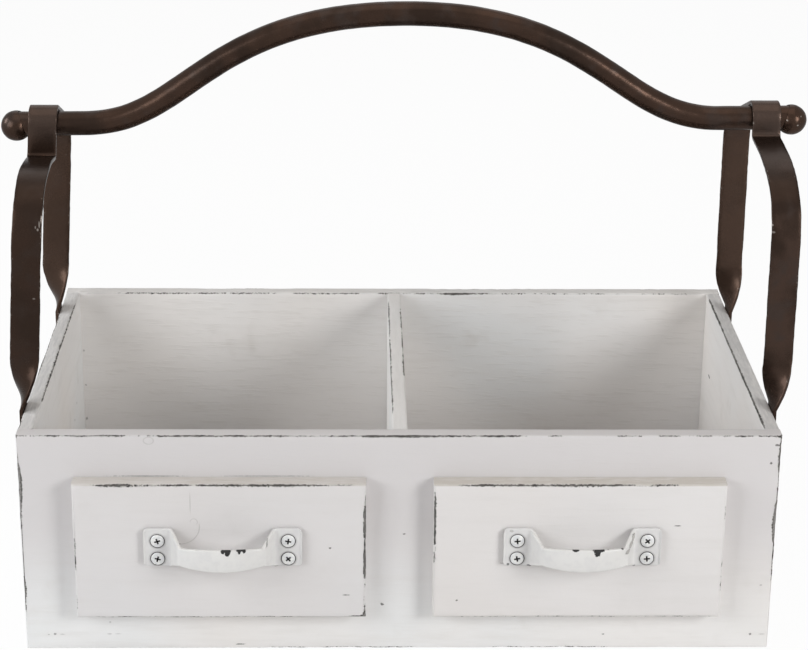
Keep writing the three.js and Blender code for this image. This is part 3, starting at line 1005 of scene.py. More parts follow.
@dataclass(frozen=True)
class Board:
    """One painted board of the box, built on the room that its CAD node takes."""

    node: str
    eased: tuple[tuple[Side, Side], ...]
    grain: Grain
    butted: tuple[Side, ...] = ()
    rub: float = -0.3
    patches: tuple[Patch, ...] = ()
    marks: Marks = Marks()
    joint: float = 0.0

    arris: float = 0.9 * MM
    grid: float = 2.0 * MM
    wave: float = 0.12 * MM
    wave_scale: float = 22.0
    chip: float = 0.7 * MM
    chip_scales: Pair = (210.0, 60.0)
    chip_band: float = 1.7 * MM
    beyond: float = 60 * MM
    pattern_step: float = 0.37

    def _shape(self, low: Vector, high: Vector) -> bmesh.types.BMesh:
        """The plain board with its open arrises rounded, divided finely enough to dent."""
        bm = block(low, high)
        if self.joint:
            for x in (low.x + self.joint, high.x - self.joint):
                parts = [*bm.verts, *bm.edges, *bm.faces]
                bmesh.ops.bisect_plane(bm, geom=parts, plane_co=(x, 0, 0), plane_no=(1, 0, 0))
        rounded = [edge for edge in bm.edges if self._is_open(edge, low, high)]
        bmesh.ops.bevel(
            bm, geom=rounded, offset=self.arris, segments=3, profile=0.5, affect="EDGES", material=-1)
        for axis in range(3):
            spans: dict[int, list[bmesh.types.BMEdge]] = {}
            for edge in bm.edges:
                run = edge.verts[1].co - edge.verts[0].co
                cuts = int(run.length / self.grid)
                if cuts and abs(run[axis]) > run.length * STRAIGHT:
                    spans.setdefault(cuts, []).append(edge)
            for cuts, edges in spans.items():
                bmesh.ops.subdivide_edges(bm, edges=edges, cuts=cuts, use_grid_fill=False)
        return bm

    def _is_open(self, edge: bmesh.types.BMEdge, low: Vector, high: Vector) -> bool:
        """Whether an edge is one of the open arrises, clear of the joints."""
        middle = (edge.verts[0].co + edge.verts[1].co) / 2
        for pair in self.eased:
            if all(side.gap(middle, low, high) < TINY for side in pair):
                # The end boards butt against the inner face, so its arris stays square over their ends.
                inner = (Side.BACK if low.y < 0 else Side.FRONT) in pair
                at_joint = middle.x < low.x + self.joint or middle.x > high.x - self.joint
                return not (inner and at_joint)
        return False

    def _weather(self, bm: bmesh.types.BMesh, low: Vector, high: Vector) -> None:
        """Waves the faces a little, and chips the open arrises where they are worn."""
        wear = bm.verts.layers.float.new("wear")
        bm.normal_update()
        for vert in bm.verts:
            place = vert.co.copy()
            vert[wear] = self.rub + sum(patch.wear_at(place) for patch in self.patches)
            near = min(
                (max(abs(a.gap(place, low, high)), abs(b.gap(place, low, high))) for a, b in self.eased),
                default=self.chip_band,
            )
            closeness = max(0.0, 1 - near / self.chip_band)
            waved = (0.5 + noise.noise(place * self.wave_scale)) * self.wave
            fine, coarse = (noise.noise(place * scale) for scale in self.chip_scales)
            broken = fine * 0.6 + coarse * 0.5 + min(1.2, vert[wear]) * 0.5
            chipped = max(0.0, broken) * closeness * self.chip
            vert.co -= vert.normal * max(0.0, waved * (1 - closeness) + chipped)

    def build(self) -> None:
        """Builds the board and dresses it."""
        low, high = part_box(self.node)
        bm = self._shape(low, high)
        self._weather(bm, low, high)
        open_low, open_high = low.copy(), high.copy()
        for side in self.butted:
            axis, direction = side.value
            (open_high if direction > 0 else open_low)[axis] += direction * self.beyond
        paint = ChalkPaint(
            name=f"chalk_paint_{self.node}",
            low=open_low,
            high=open_high,
            grain=self.grain,
            marks=self.marks,
            arris=self.arris,
            shift=len(self.node) * self.pattern_step,
        )
        settle(f"painted_{self.node}", bm, [paint.build()], self.node)


def all_round(side: Side) -> tuple[tuple[Side, Side], ...]:
    """The four arrises of one face."""
    axis = side.value[0]
    return tuple((side, other) for other in Side if other.value[0] != axis)


@dataclass
class Carcass:
    """The open box: four walls, a divider and a bottom."""

    end_thickness: float = 8.1 * MM
    face: float = -114.0
    back: float = 114.0
    back_inside: float = 105.0
    end: float = 200.0
    end_inside: float = 192.0
    divider_half: float = 4.0
    rim: float = 125.0

    def _front(self) -> Board:
        """The front board, the most worn one."""
        top = worn(
            Axis.X, (self.face, self.rim), (-200, 200, 0.25), (-200, -176, 0.55), (-172, -144, 0.75),
            (-126, -19, 0.75), (-19, 16, 1.3), (16, 63, 0.85), (79, 83, 0.5), (114, 125, 0.5),
            (136, 146, 0.5), (153, 162, 0.5), (177, 184, 0.9), (189, 192, 0.7), (195, 200, 0.9))
        left = worn(
            Axis.Z, (-self.end, self.face), (108, 83, 2.8), (81, 72, 1.3), (42, 33, 1.5), (33, 23, 0.8))
        right = worn(
            Axis.Z, (self.end, self.face), (120, 106, 1.9), (100, 93, 0.7), (86, 64, 2.9), (58, 42, 0.8))
        foot = worn(Axis.X, (self.face, 0), (-76, 10, 0.7), (47, 112, 0.7))
        ring = loop(self.face, (-131.2, 122.0, 2.6, 2.0, 0.9), (-130.6, 121.4, 4.4, 3.6, 1.0), 0.5)
        # The last two specks, long and thin at 101.9 mm just over the left panel's top, are painted shadow
        # along the joint.
        specks = spots(
            self.face, (2.4, 68.2, 1.0, 0.6, 0.8), (-9, 26.6, 1.3, 1.0, 0.8), (30.1, 28.7, 1.0, 0.8, 0.9),
            (195.0, 109.4, 0.9, 0.9, 0.8), (194.1, 37.8, 1.0, 0.6, 0.3), (190.2, 8.2, 0.9, 0.8, 0.8),
            (196.5, 8.2, 2.2, 0.5, 0.25), (110.5, 8.3, 1.2, 0.6, 0.7), (-188.0, 8.4, 0.8, 0.5, 0.35),
            (-184.6, 8.8, 1.0, 0.7, 0.6), (-180.8, 8.6, 1.9, 0.4, 0.25), (-155.6, 8.8, 1.6, 0.5, 0.3),
            (-150.6, 8.8, 2.4, 0.4, 0.22), (-154.9, 15.9, 0.8, 0.6, 0.3), (-85.2, 2.5, 3.0, 0.5, 0.8),
            (27, 70.5, 0.8, 1.0, 0.8), (197.6, 119.6, 1.6, 0.9, 0.8), (-132, 101.9, 26, 0.55, 0.4),
            (-70, 101.9, 32, 0.55, 0.3))
        # Its colour darkens towards the top: painted shade, as the lower front takes more light. Its top
        # ledge takes a little dirt and painted shade.
        return Board(
            "front_board", (*all_round(Side.FRONT), (Side.BACK, Side.TOP)), Grain.ALONG_X,
            rub=-0.35, joint=self.end_thickness, patches=(*top, *left, *right, *foot),
            marks=Marks(specks, loops=(ring,), dirt_and_shade=0.1, tone=(0.0, 1.0)),
        )

    def _boards(self) -> list[Board]:
        """Every board of the box."""
        inner_back = worn(
            Axis.X, (self.back_inside, self.rim), (-170, -146, 0.4), (-146, -104, 0.75), (-100, -72, 0.6),
            (-61, -40, 0.7), (-40, -22, 0.9), (-8, 2, 0.8), (4, 60, 0.5), (31, 47, 0.8), (60, 188, 0.4))
        outer_back = (
            *worn(Axis.X, (self.back, self.rim), (-120, -60, 1.0), (20, 90, 1.1), (150, 170, 1.0)),
            *worn(Axis.Z, (-self.end, self.back), (112, 84, 1.2), (44, 22, 1.4)),
            *worn(Axis.Z, (self.end, self.back), (96, 60, 1.3), (30, 12, 1.0)),
            *worn(Axis.X, (self.back, 0), (-150, -60, 0.9), (40, 130, 0.9)),
        )
        left = (
            *worn(Axis.Y, (-self.end_inside, self.rim), (84, 20, 0.9), (18, 12, 1.3), (10, -66, 1.0)),
            *worn(Axis.Y, (-self.end, self.rim), (66, 24, 1.0), (20, -30, 1.0), (-95, -108, 0.9)),
        )
        right = worn(Axis.Y, (self.end_inside, self.rim), (96, 40, 1.1), (42, -52, 1.1), (-50, -102, 1.2))
        divider = (
            *worn(Axis.Y, (-self.divider_half, self.rim), (89, 30, 0.9), (25, -82, 1.0)),
            *worn(Axis.Y, (self.divider_half, self.rim), (78, 10, 0.8), (5, -28, 0.9)),
        )
        left_dots = tuple(
            Patch.in_mm((-self.end_inside, y, z), (2, 1.6, 0.9), 0.5)
            for y, z in ((70.2, 66.4), (57.8, 60.5)))
        right_dots = (Patch.in_mm((self.end_inside, 76.7, 81.5), (2, 4.0, 1.0), 1.0),)
        back_dots = spots(
            self.back_inside, (-190.9, 87, 0.8, 0.9, 0.4), (-190.6, 64, 0.7, 0.8, 0.4),
            (-190.9, 41.7, 0.9, 1.2, 0.5))
        rim = {"butted": (Side.FRONT, Side.BACK, Side.UNDER), "grain": Grain.ALONG_Y}
        top_both = ((Side.LEFT, Side.TOP), (Side.RIGHT, Side.TOP))
        return [
            self._front(),
            # Its inner face darkens towards its foot: painted shade inside the compartments. Its top ledge
            # takes dirt and painted shade.
            Board(
                "back_board", (*all_round(Side.BACK), (Side.FRONT, Side.TOP)), Grain.ALONG_X,
                rub=-0.25, joint=self.end_thickness, patches=(*inner_back, *outer_back),
                marks=Marks(back_dots, dirt_and_shade=0.5, tone=(0.5, 0.0), ripple=0.35),
            ),
            # The rims of the end boards and the divider take dirt and painted shade; the right end board
            # also darkens towards its foot, painted shade on its inner wall.
            Board("end_board_left", top_both, patches=left, marks=Marks(left_dots, dirt_and_shade=0.8), **rim),
            Board(
                "end_board_right", top_both, patches=right,
                marks=Marks(right_dots, dirt_and_shade=0.85, tone=(0.6, 0.0)), **rim),
            Board("divider", top_both, patches=divider, marks=Marks(dirt_and_shade=0.2), **rim),
            Board("bottom_board", (), Grain.ALONG_X, butted=tuple(Side), rub=-2.0),
        ]

    def build(self) -> None:
        """Builds every board."""
        for board in self._boards():
            board.build()


@dataclass
class DrawerPanels:
    """The two raised panels that look like drawers."""

    face: float = -124.1
    foot: float = 23.7
    top: float = 101.5
    near: float = 17.6
    far: float = 171.2
    arris: float = 1.4 * MM
    # Colour of the dirt and painted shade on the panels' top faces.
    dirt_and_shade_colour: Colour = paint_colour(201, 196, 189)

    def _board(self, side: str, patches: tuple[Patch, ...], marks: Marks) -> Board:
        """One panel, glued flat on the front."""
        return Board(
            f"drawer_panel_{side}", all_round(Side.FRONT), Grain.ALONG_X, butted=(Side.BACK,),
            patches=patches, marks=marks, arris=self.arris)

    def _left(self) -> Board:
        """The left panel, with a few hairline scratches between its arris and its pull."""
        patches = (
            *worn(
                Axis.X, (self.face, self.top), (-159, -130, 1.0), (-152, -142, 0.5), (-128, -111, 0.9),
                (-105, -42, 1.1), (-42, -23, 0.6)),
            *worn(
                Axis.Z, (-self.near, self.face), (93, 44, 0.9), (87, 72, 1.0), (62, 49, 1.0),
                (31, 24, 1.5)),
            *worn(Axis.X, (self.face, self.foot), (-170, -50, 0.6), (-26, -18, 1.2)),
            *worn(Axis.Z, (-self.far, self.face), (77, 62, 0.3), (62, 53, 0.9), (40, 27, 0.5)),
        )
        arc = loop(self.face, (-115.2, 77.6, 10.2, 10.2, 1.0), (-107.2, 70.2, 10.5, 10.5, 1.0), 0.4)
        hook = loop(self.face, (-108.0, 80.0, 1.9, 1.9, 0.8), (-107.6, 80.8, 2.8, 2.6, 1.0), 0.35)
        # The specks 55 to 56 mm high, along the foot of the pull's plates, are painted shadow under the
        # plates.
        specks = spots(
            self.face, (-36.7, 65, 1.0, 0.7, 0.8), (-28.3, 37.3, 2.4, 0.4, 0.8),
            (-121.8, 55.3, 2.8, 0.6, 0.7), (-116.4, 67.4, 2.2, 0.5, 0.6), (-57.5, 56.2, 2.6, 0.5, 0.5))
        scratches = spots(self.face, (-109.6, 91, 0.4, 8.0, 0.7))
        # The top face takes dirt and painted shade; the face as a whole is evenly dimmed.
        marks = Marks(specks, scratches, (arc, hook), dirt_and_shade=0.75, dirt_and_shade_colour=self.dirt_and_shade_colour, tone=(0.7, 0.7))
        return self._board("left", patches, marks)

    def _right(self) -> Board:
        """The right panel, with a jagged upper arris."""
        patches = (
            *worn(Axis.X, (self.face, self.top), (33, 112, 1.25), (112, 123, 0.8), (133, 145, 0.6)),
            *worn(Axis.Z, (self.near, self.face), (95, 68, 1.5), (61, 57, 1.1)),
            *worn(Axis.Z, (self.far, self.face), (89, 78, 0.4), (58, 40, 0.5)),
            *worn(Axis.X, (self.face, self.foot), (22, 169, 0.5)),
        )
        # The specks 55 to 56 mm high, along the foot of the pull's plates, are painted shadow under the
        # plates.
        specks = spots(
            self.face, (146, 77.8, 2.2, 0.4, 0.8), (30.5, 34, 0.9, 0.8, 0.8),
            (129.5, 55.2, 6.0, 0.6, 0.6), (56, 56.0, 3.4, 0.5, 0.5))
        # The top face takes dirt and painted shade; the face as a whole is evenly dimmed.
        return self._board("right", patches, Marks(specks, dirt_and_shade=1.1, dirt_and_shade_colour=self.dirt_and_shade_colour, tone=(0.5, 0.5)))

    def build(self) -> None:
        """Builds both panels."""
        for board in (self._left(), self._right()):
            board.build()


def spread(across: float, half: float, wanted: float, eased: float) -> float:
    """Widens a strip at a place across it, and leaves the rounding of its rims as it is.

    Args:
        across: The place across the strip.
        half: Half the strip's width so far.
        wanted: Half its new width.
        eased: The rounding of its rims.

    Returns:
        The new place.
    """
    inner = half - eased
    if abs(across) >= inner - TINY:
        return math.copysign(wanted - (half - abs(across)), across)
    return across * (wanted - eased) / inner


def rounding(radius: float, inset: float) -> float:
    """How far a rounded corner draws an edge in, at a place that lies so far in from the end."""
    left = max(0.0, radius - inset)
    return radius - math.sqrt(max(0.0, radius ** 2 - left ** 2))


def lathe(profile: Sequence[Pair]) -> bmesh.types.BMesh:
    """Turns a profile of radius and height, which starts and ends on the Z axis, round that axis."""
    bm = bmesh.new()
    verts = [bm.verts.new((radius, 0, height)) for radius, height in profile]
    edges = [bm.edges.new(pair) for pair in zip(verts, verts[1:])]
    bmesh.ops.spin(
        bm, geom=[*verts, *edges], cent=(0, 0, 0), axis=(0, 0, 1), dvec=(0, 0, 0),
        angle=2 * math.pi, steps=LATHE_STEPS, use_merge=True, use_duplicate=False)
    bmesh.ops.remove_doubles(bm, verts=bm.verts, dist=TINY)
    bmesh.ops.recalc_face_normals(bm, faces=bm.faces)
    return bm


def facing(outward: Vector, place: Vector) -> Matrix:
    """Stands a shape's Z axis along a level direction, its Y axis upright, at a place."""
    up = Vector((0, 0, 1))
    right = up.cross(outward)
    return Matrix.Translation(place) @ Matrix((right, up, outward)).transposed().to_4x4()


@dataclass
class WoodScrew:
    """A raised countersunk wood screw with a cross recess, in the room that its CAD node takes."""

    node: str
    outward: Vector
    turn: float
    materials: tuple[bpy.types.Material, bpy.types.Material]
    slot: str

    radius: float = 3.55 * MM
    shank: float = 1.75 * MM
    edge: float = 0.12 * MM
    dome: float = 0.58 * MM
    dome_steps: int = 7
    recess_span: float = 4.1 * MM
    recess_slot: float = 1.1 * MM
    recess_depth: float = 1.5 * MM
    recess_taper: float = 0.6
    seat_gap: float = 0.38 * MM

    def _profile(self, length: float) -> list[Pair]:
        """The screw's half outline, its head's rim at height 0."""
        dome = []
        for step in range(self.dome_steps + 1):
            angle = math.pi / 2 * step / self.dome_steps
            dome.append((self.radius * math.cos(angle), self.edge + self.dome * math.sin(angle)))
        cone = self.radius - self.shank
        return [(0, -length), (self.shank, -length), (self.shank, -cone), (self.radius, 0), *dome]

    def _recess(self) -> list[bmesh.types.BMesh]:
        """The two crossed slots of the recess, narrower at the bottom."""
        slots = []
        for quarter in (0, 90):
            slot = bmesh.new()
            bmesh.ops.create_cube(slot, size=1.0)
            for vert in slot.verts:
                share = self.recess_taper if vert.co.z < 0 else 1
                vert.co.x *= self.recess_span * share
                vert.co.y *= self.recess_slot * share
                vert.co.z *= self.recess_depth * 2
            turned = Matrix.Rotation(math.radians(self.turn + quarter), 4, "Z")
            lifted = Matrix.Translation((0, 0, self.edge + self.dome))
            slots.append(moved(slot, lifted @ turned))
        return slots

    def head_place(self) -> Vector:
        """The middle of the head's rim."""
        low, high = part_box(self.node)
        axis = max(range(3), key=lambda number: abs(self.outward[number]))
        place = (low + high) / 2
        top = (high if self.outward[axis] > 0 else low)[axis]
        place[axis] = top - self.outward[axis] * (self.edge + self.dome)
        return place

    def seat(self, depth: float) -> bmesh.types.BMesh:
        """The countersunk hole that the screw sits in, as a shape to cut away."""
        cone = self.radius - self.shank
        wide, narrow = self.radius + self.seat_gap, self.shank + self.seat_gap
        bm = lathe([(0, -depth), (narrow, -depth), (narrow, -cone), (wide, 0), (wide, depth), (0, depth)])
        return moved(bm, facing(self.outward, self.head_place()))

    def build(self) -> None:
        """Builds the screw."""
        low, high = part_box(self.node)
        length = max(high - low) - self.edge - self.dome
        bm = cut_away(lathe(self._profile(length)), self._recess())
        moved(bm, facing(self.outward, self.head_place()))
        settle(f"turned_{self.node}", bm, self.materials, self.node)


@dataclass
class BowPull:
    """A pull bent from sheet: two screwed plates, two sloping legs and a bow between them."""

    label: str
    chips: tuple[Patch, ...]
    rubs: tuple[Patch, ...]
    turns: tuple[float, float, float, float]

    length: float = 83 * MM
    sheet: float = 1.8 * MM
    plate_width: float = 14.5 * MM
    plate_height: float = 21.6 * MM
    corner: float = 2.4 * MM
    # Radius and strength of the painted shade ring round each screw head.
    ring: float = 5.2 * MM
    shade_ring_gain: float = 0.55
    lip: float = 0.8 * MM
    lip_width: float = 1.5 * MM
    neck_height: float = 10 * MM
    bow_height: float = 12.6 * MM
    dish: float = 0.9 * MM
    reach: float = 18.8 * MM
    leg_run: float = 5.6 * MM
    leg_rise: float = 12.4 * MM
    fillet: float = 2.6 * MM
    rim: float = 0.5 * MM
    steps: int = 280
    rows: int = 14

    @property
    def _root(self) -> float:
        """How far from the pull's middle a leg leaves its plate."""
        return self.length / 2 - self.plate_width

    @property
    def _top(self) -> float:
        """How far from the pull's middle a leg meets the bow."""
        return self._root - self.leg_run

    def _plan(self) -> Track:
        """The middle of the sheet seen from above: along the pull, and out from the panel."""
        base, root, top = self.sheet / 2, self._root, self._top
        top_out = base + self.leg_rise
        slant = Vector((self.leg_run, self.leg_rise)).normalized() * self.fillet
        share = self.fillet / top
        peak = (2 * (self.reach - base) - (1 - share) * top_out) / (1 + share)
        shoulder, shoulder_out = top * (1 - share), top_out + (peak - top_out) * share
        plan = Track((-self.length / 2, base)).line((-root - self.fillet, base))
        plan.bend((-root, base), (-root + slant.x, base + slant.y))
        plan.line((-top - slant.x, top_out - slant.y))
        plan.bend((-top, top_out), (-shoulder, shoulder_out))
        plan.bend((0, peak), (shoulder, shoulder_out))
        plan.bend((top, top_out), (top + slant.x, top_out - slant.y))
        plan.line((root - slant.x, base + slant.y))
        plan.bend((root, base), (root + self.fillet, base))
        return plan.line((self.length / 2, base))

    def _height_at(self, along: float) -> float:
        """The sheet's height: full at the plates, drawn in at the necks, fuller again over the bow."""
        reach = abs(along)
        if reach <= self._top:
            return self.neck_height + (self.bow_height - self.neck_height) * (1 - (reach / self._top) ** 2)
        if reach <= self._root:
            share = (reach - self._top) / self.leg_run
            return self.neck_height + (self.plate_height - self.neck_height) * share
        return self.plate_height - 2 * rounding(self.corner, self.length / 2 - reach)

    def _lift_at(self, along: float, level: float) -> float:
        """How far the sheet is pressed outwards: dished over the bow, and with a lip at the plates' ends."""
        dished = self.dish * max(0.0, 1 - (along / self._top) ** 2) * (1 - level ** 2)
        near = clamp(1 - (self.length / 2 - abs(along)) / self.lip_width)
        return dished + self.lip * smooth(near)

    def _shape(self, middle: Vector) -> bmesh.types.BMesh:
        """The bent sheet in its place, before the screws' seats are cut."""
        bm = bar(self.neck_height, self.sheet, self.rim, self.steps, self.rows)
        stations = self._plan().eased(self.steps)
        for vert in bm.verts:
            place, along = stations[round(vert.co.x * self.steps)]
            half = self._height_at(place.x) / 2
            across = spread(vert.co.y, self.neck_height / 2, half, self.rim)
            out = vert.co.z + self._lift_at(place.x, across / half)
            spot = place + Vector((-along.y, along.x)) * out
            vert.co = middle + Vector((spot.x, -spot.y, across))
        bmesh.ops.recalc_face_normals(bm, faces=bm.faces)
        return bm

    def build(self) -> None:
        """Builds the pull and its four screws."""
        node = f"pull_{self.label}"
        low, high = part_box(node)
        middle = Vector(((low.x + high.x) / 2, high.y, (low.z + high.z) / 2))
        front = Vector((0, -1, 0))
        steel, recess_shade = BrightScrew("bright_plate").build(), RecessShade("recess_painted_shade").build()
        screws = [
            WoodScrew(f"pull_screw_{self.label}_{number}", front, turn, (steel, recess_shade), "bright_screw")
            for number, turn in enumerate(self.turns, 1)
        ]
        bm = cut_away(self._shape(middle), [screw.seat(2 * self.sheet) for screw in screws])
        # Painted shade rings round the screw heads.
        rings = tuple(
            Patch(tuple((foot + head) / 2), (self.ring, 3 * self.plate_height, self.ring), self.shade_ring_gain)
            for foot, head in (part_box(screw.node) for screw in screws))
        enamel = PullEnamel(f"pull_enamel_{self.label}", self.chips, self.rubs, rings).build()
        settle(f"bent_{node}", bm, [enamel, recess_shade], node)
        for screw in screws:
            screw.build()


@dataclass(frozen=True)
class RailSeat:
    """Where the rail runs: its middle, its tilt, and how far out each hoop carries it."""

    radius: float = 6.7 * MM
    height: float = 263.2 * MM
    shift: float = 3.4 * MM
    tilt: float = math.radians(0.68)
    hoop_reach: float = 197 * MM
    gap: float = 0.3 * MM

    def turned(self) -> Matrix:
        """Carries a point from the level rail's frame to its place."""
        return Matrix.Translation((self.shift, 0, self.height)) @ Matrix.Rotation(-self.tilt, 4, "Y")

    def at_hoop(self, side: int) -> Vector:
        """The rail's axis in a hoop's crown."""
        return self.turned() @ Vector((side * self.hoop_reach, 0, 0))


@dataclass(frozen=True)
class HoopBends:
    """How far one hoop's bends lie above or below the rail's axis in its crown."""

    crown_lift: float
    neck_drop: float
    run_drop: float
    corner_drop: float


@dataclass
class IronHoop:
    """A hoop of flat iron: two feet on the end board, each twisted a quarter, and a crown for the rail."""

    label: str
    side: int
    seat: RailSeat
    bends: HoopBends
    finish: ForgedIron

    width: float = 15.6 * MM
    thickness: float = 2 * MM
    rim: float = 0.5 * MM
    inset: float = 38 * MM
    board_gap: float = 0.1 * MM
    skew: float = 1.3 * MM
    neck_bend: float = 3.5 * MM
    run_share: float = 0.66
    leg_drop: float = 40 * MM
    back_slope: float = 20.6
    back_bend: float = 22 * MM
    twist: float = 27 * MM
    twist_start: float = 1 * MM
    foot_corner: float = 3 * MM
    steps: int = 400
    rows: int = 8
    dent: float = 0.12 * MM
    dent_size: float = 11 * MM
    edge_wander: float = 0.35 * MM
    wander_scales: Pair = (60.0, 170.0)
    screw_turn: float = 23.0
    screw_step: float = 31.0

    def _line(self, foot: float, axis: float, half: float) -> Track:
        """The side view at mid thickness, from the front foot to the back one.

        Args:
            foot: The height of the feet's ends.
            axis: The height of the rail's axis in the crown.
            half: Half the distance between the legs.

        Returns:
            The line, as depth and height.
        """
        radius = self.seat.radius + self.seat.gap + self.thickness / 2
        crown = axis + self.bends.crown_lift
        neck = Vector((-radius, axis - self.bends.neck_drop))
        run = Vector((-half * self.run_share, neck.y - self.bends.run_drop))
        slope = math.radians(self.back_slope)
        back = half - self.back_bend
        fall = (back + (self.back_bend - radius) * math.sin(slope)) * math.tan(slope)
        back_height = crown + (radius - self.back_bend) * math.cos(slope) - fall
        line = Track((-half, foot)).line((-half, neck.y - self.leg_drop))
        shoulder = neck + (run - neck).normalized() * self.neck_bend
        line.swing((-half, neck.y - self.bends.corner_drop), run, shoulder)
        line.bend(neck, (neck.x, neck.y + self.neck_bend)).line((-radius, crown))
        line.arc((0, crown), radius, (180, 90 - self.back_slope))
        line.arc((back, back_height), self.back_bend, (90 - self.back_slope, 0))
        return line.line((half, foot))

    def _twist_foot(self) -> float:
        """The height where the legs' twists begin, just above the end board's rim."""
        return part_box(f"end_board_{self.label}")[1].z + self.twist_start

    def _middles(self, low: float, half: float) -> list[Vector]:
        """The middle of each cross section in space.

        Args:
            low: The height of the feet's ends.
            half: Half the distance between the legs.

        Returns:
            The points, from the front foot to the back one.
        """
        board_low, board_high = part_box(f"end_board_{self.label}")
        outside = board_high.x if self.side > 0 else board_low.x
        crown = self.seat.at_hoop(self.side)
        foot_x = outside + self.side * (self.board_gap + self.thickness / 2)
        bottom = self._twist_foot()
        lean_base = bottom + self.twist / 2
        middles = []
        for place, _ in self._line(low, crown.z, half).even(self.steps):
            lean = (crown.x - foot_x) / (crown.z - lean_base) * max(0.0, place.y - lean_base)
            skew = self.skew * clamp((place.y - bottom) / self.twist) * place.x / half
            middles.append(Vector((foot_x + lean - skew, place.x, place.y)))
        return middles

    def _shape(self) -> bmesh.types.BMesh:
        """The bent and twisted strap."""
        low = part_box(f"hoop_{self.label}")[0].z
        depth_low, depth_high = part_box("front_board")[0].y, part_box("back_board")[1].y
        twist_top = self._twist_foot() + self.twist
        middles = self._middles(low, (depth_high - depth_low) / 2 - self.inset)
        bm = bar(self.width, self.thickness, self.rim, self.steps, self.rows)
        rim = bm.verts.layers.float.new("rim")
        for vert in bm.verts:
            vert[rim] = abs(vert.co.y) / (self.width / 2)
            step = round(vert.co.x * self.steps)
            at = middles[step]
            run = (middles[min(self.steps, step + 1)] - middles[max(0, step - 1)]).normalized()
            turn = math.pi / 2 * clamp((twist_top - at.z) / self.twist)
            across = Vector((math.cos(turn), -math.sin(turn), 0))
            across = (across - run * across.dot(run)).normalized()
            clipped = rounding(self.foot_corner, at.z - low)
            coarse, fine = (abs(noise.noise(at * scale)) for scale in self.wander_scales)
            half = self.width / 2 - clipped - self.edge_wander * (coarse + fine * 0.7)
            wide = spread(vert.co.y, self.width / 2, half, self.rim)
            vert.co = at + across * wide + run.cross(across) * vert.co.z
        bmesh.ops.recalc_face_normals(bm, faces=bm.faces)
        hammer(bm, self.dent, self.dent_size)
        return bm

    def build(self) -> None:
        """Builds the hoop and the four screws of its feet."""
        outward = Vector((self.side, 0, 0))
        iron, recess_shade = self.finish.build(), RecessShade("recess_painted_shade").build()
        screws = [
            WoodScrew(
                f"hoop_screw_{self.label}_{number}", outward, self.screw_turn + self.screw_step * number,
                (iron, recess_shade), "forged_iron")
            for number in range(1, 5)
        ]
        bm = cut_away(self._shape(), [screw.seat(2 * self.thickness) for screw in screws])
        settle(f"forged_hoop_{self.label}", bm, [iron, recess_shade], f"hoop_{self.label}")
        for screw in screws:
            screw.build()


@dataclass
class CarryingRail:
    """The arched round bar and the ball on each end."""

    seat: RailSeat
    finish: ForgedIron

    span: float = 345 * MM
    rise: float = 59.4 * MM
    crown_reach: float = 107 * MM
    end_reach: float = 55 * MM
    arch_shift: float = -0.9 * MM
    stub: float = 2.1 * MM
    ball_radius: float = 8.4 * MM
    ball_drop: float = 1.2 * MM
    socket: float = 7 * MM
    hoop_width: float = 15.6 * MM
    sides: int = 40
    steps: int = 360
    dent: float = 0.16 * MM
    dent_size: float = 9 * MM
    ball_dent_share: float = 0.6

    def _ball_reach(self) -> float:
        """How far each ball's centre lies from the rail's middle."""
        outside = math.sqrt(self.ball_radius ** 2 - self.seat.radius ** 2)
        return self.seat.hoop_reach + self.hoop_width / 2 + self.stub + outside

    def _line(self) -> Track:
        """The rail's axis, level: it swings up from a straight end to a flat-topped arch, and down again."""
        middle, rise = self.arch_shift, self.rise
        left, right = middle - self.span / 2, middle + self.span / 2
        end = self._ball_reach() - self.ball_radius + self.socket - self.seat.gap
        track = Track((-end, 0)).line((left, 0))
        track.swing((left + self.end_reach, 0), (middle - self.crown_reach, rise), (middle, rise))
        track.swing((middle + self.crown_reach, rise), (right - self.end_reach, 0), (right, 0))
        return track.line((end, 0))

    def _rail(self) -> bmesh.types.BMesh:
        """The bent bar."""
        bm = rod(self.seat.radius, 1.0, self.sides)
        bmesh.ops.subdivide_edges(
            bm, edges=edges_along(bm, Axis.Z), cuts=self.steps - 1, use_grid_fill=False)
        stations = self._line().even(self.steps)
        placed = self.seat.turned()
        for vert in bm.verts:
            place, along = stations[round((vert.co.z + 0.5) * self.steps)]
            off = Vector((-along.y, 0, along.x)) * vert.co.x + Vector((0, vert.co.y, 0))
            vert.co = placed @ (Vector((place.x, 0, place.y)) + off)
        bmesh.ops.recalc_face_normals(bm, faces=bm.faces)
        hammer(bm, self.dent, self.dent_size)
        return bm

    def _ball(self, side: int) -> bmesh.types.BMesh:
        """A forged ball with a blind socket for the rail's end."""
        bm = bmesh.new()
        bmesh.ops.create_icosphere(bm, subdivisions=5, radius=self.ball_radius)
        hammer(bm, self.dent, self.ball_radius * self.ball_dent_share)
        radius, depth = self.seat.radius + self.seat.gap, self.socket + self.ball_radius
        middle = -side * (self.ball_radius - self.socket + depth / 2)
        turned = Matrix.Translation((middle, 0, self.ball_drop)) @ Matrix.Rotation(math.pi / 2, 4, "Y")
        bore = moved(rod(radius, depth, self.sides), turned)
        place = self.seat.turned() @ Matrix.Translation((side * self._ball_reach(), 0, -self.ball_drop))
        return moved(cut_away(bm, [bore]), place)

    def build(self) -> None:
        """Builds the rail and its two balls."""
        iron = self.finish.build()
        settle("forged_rail", self._rail(), [iron], "carrying_rail")
        for label, side in (("left", -1), ("right", 1)):
            ball = self._ball(side)
            settle(f"forged_ball_{label}", ball, [iron, iron], f"rail_ball_{label}")


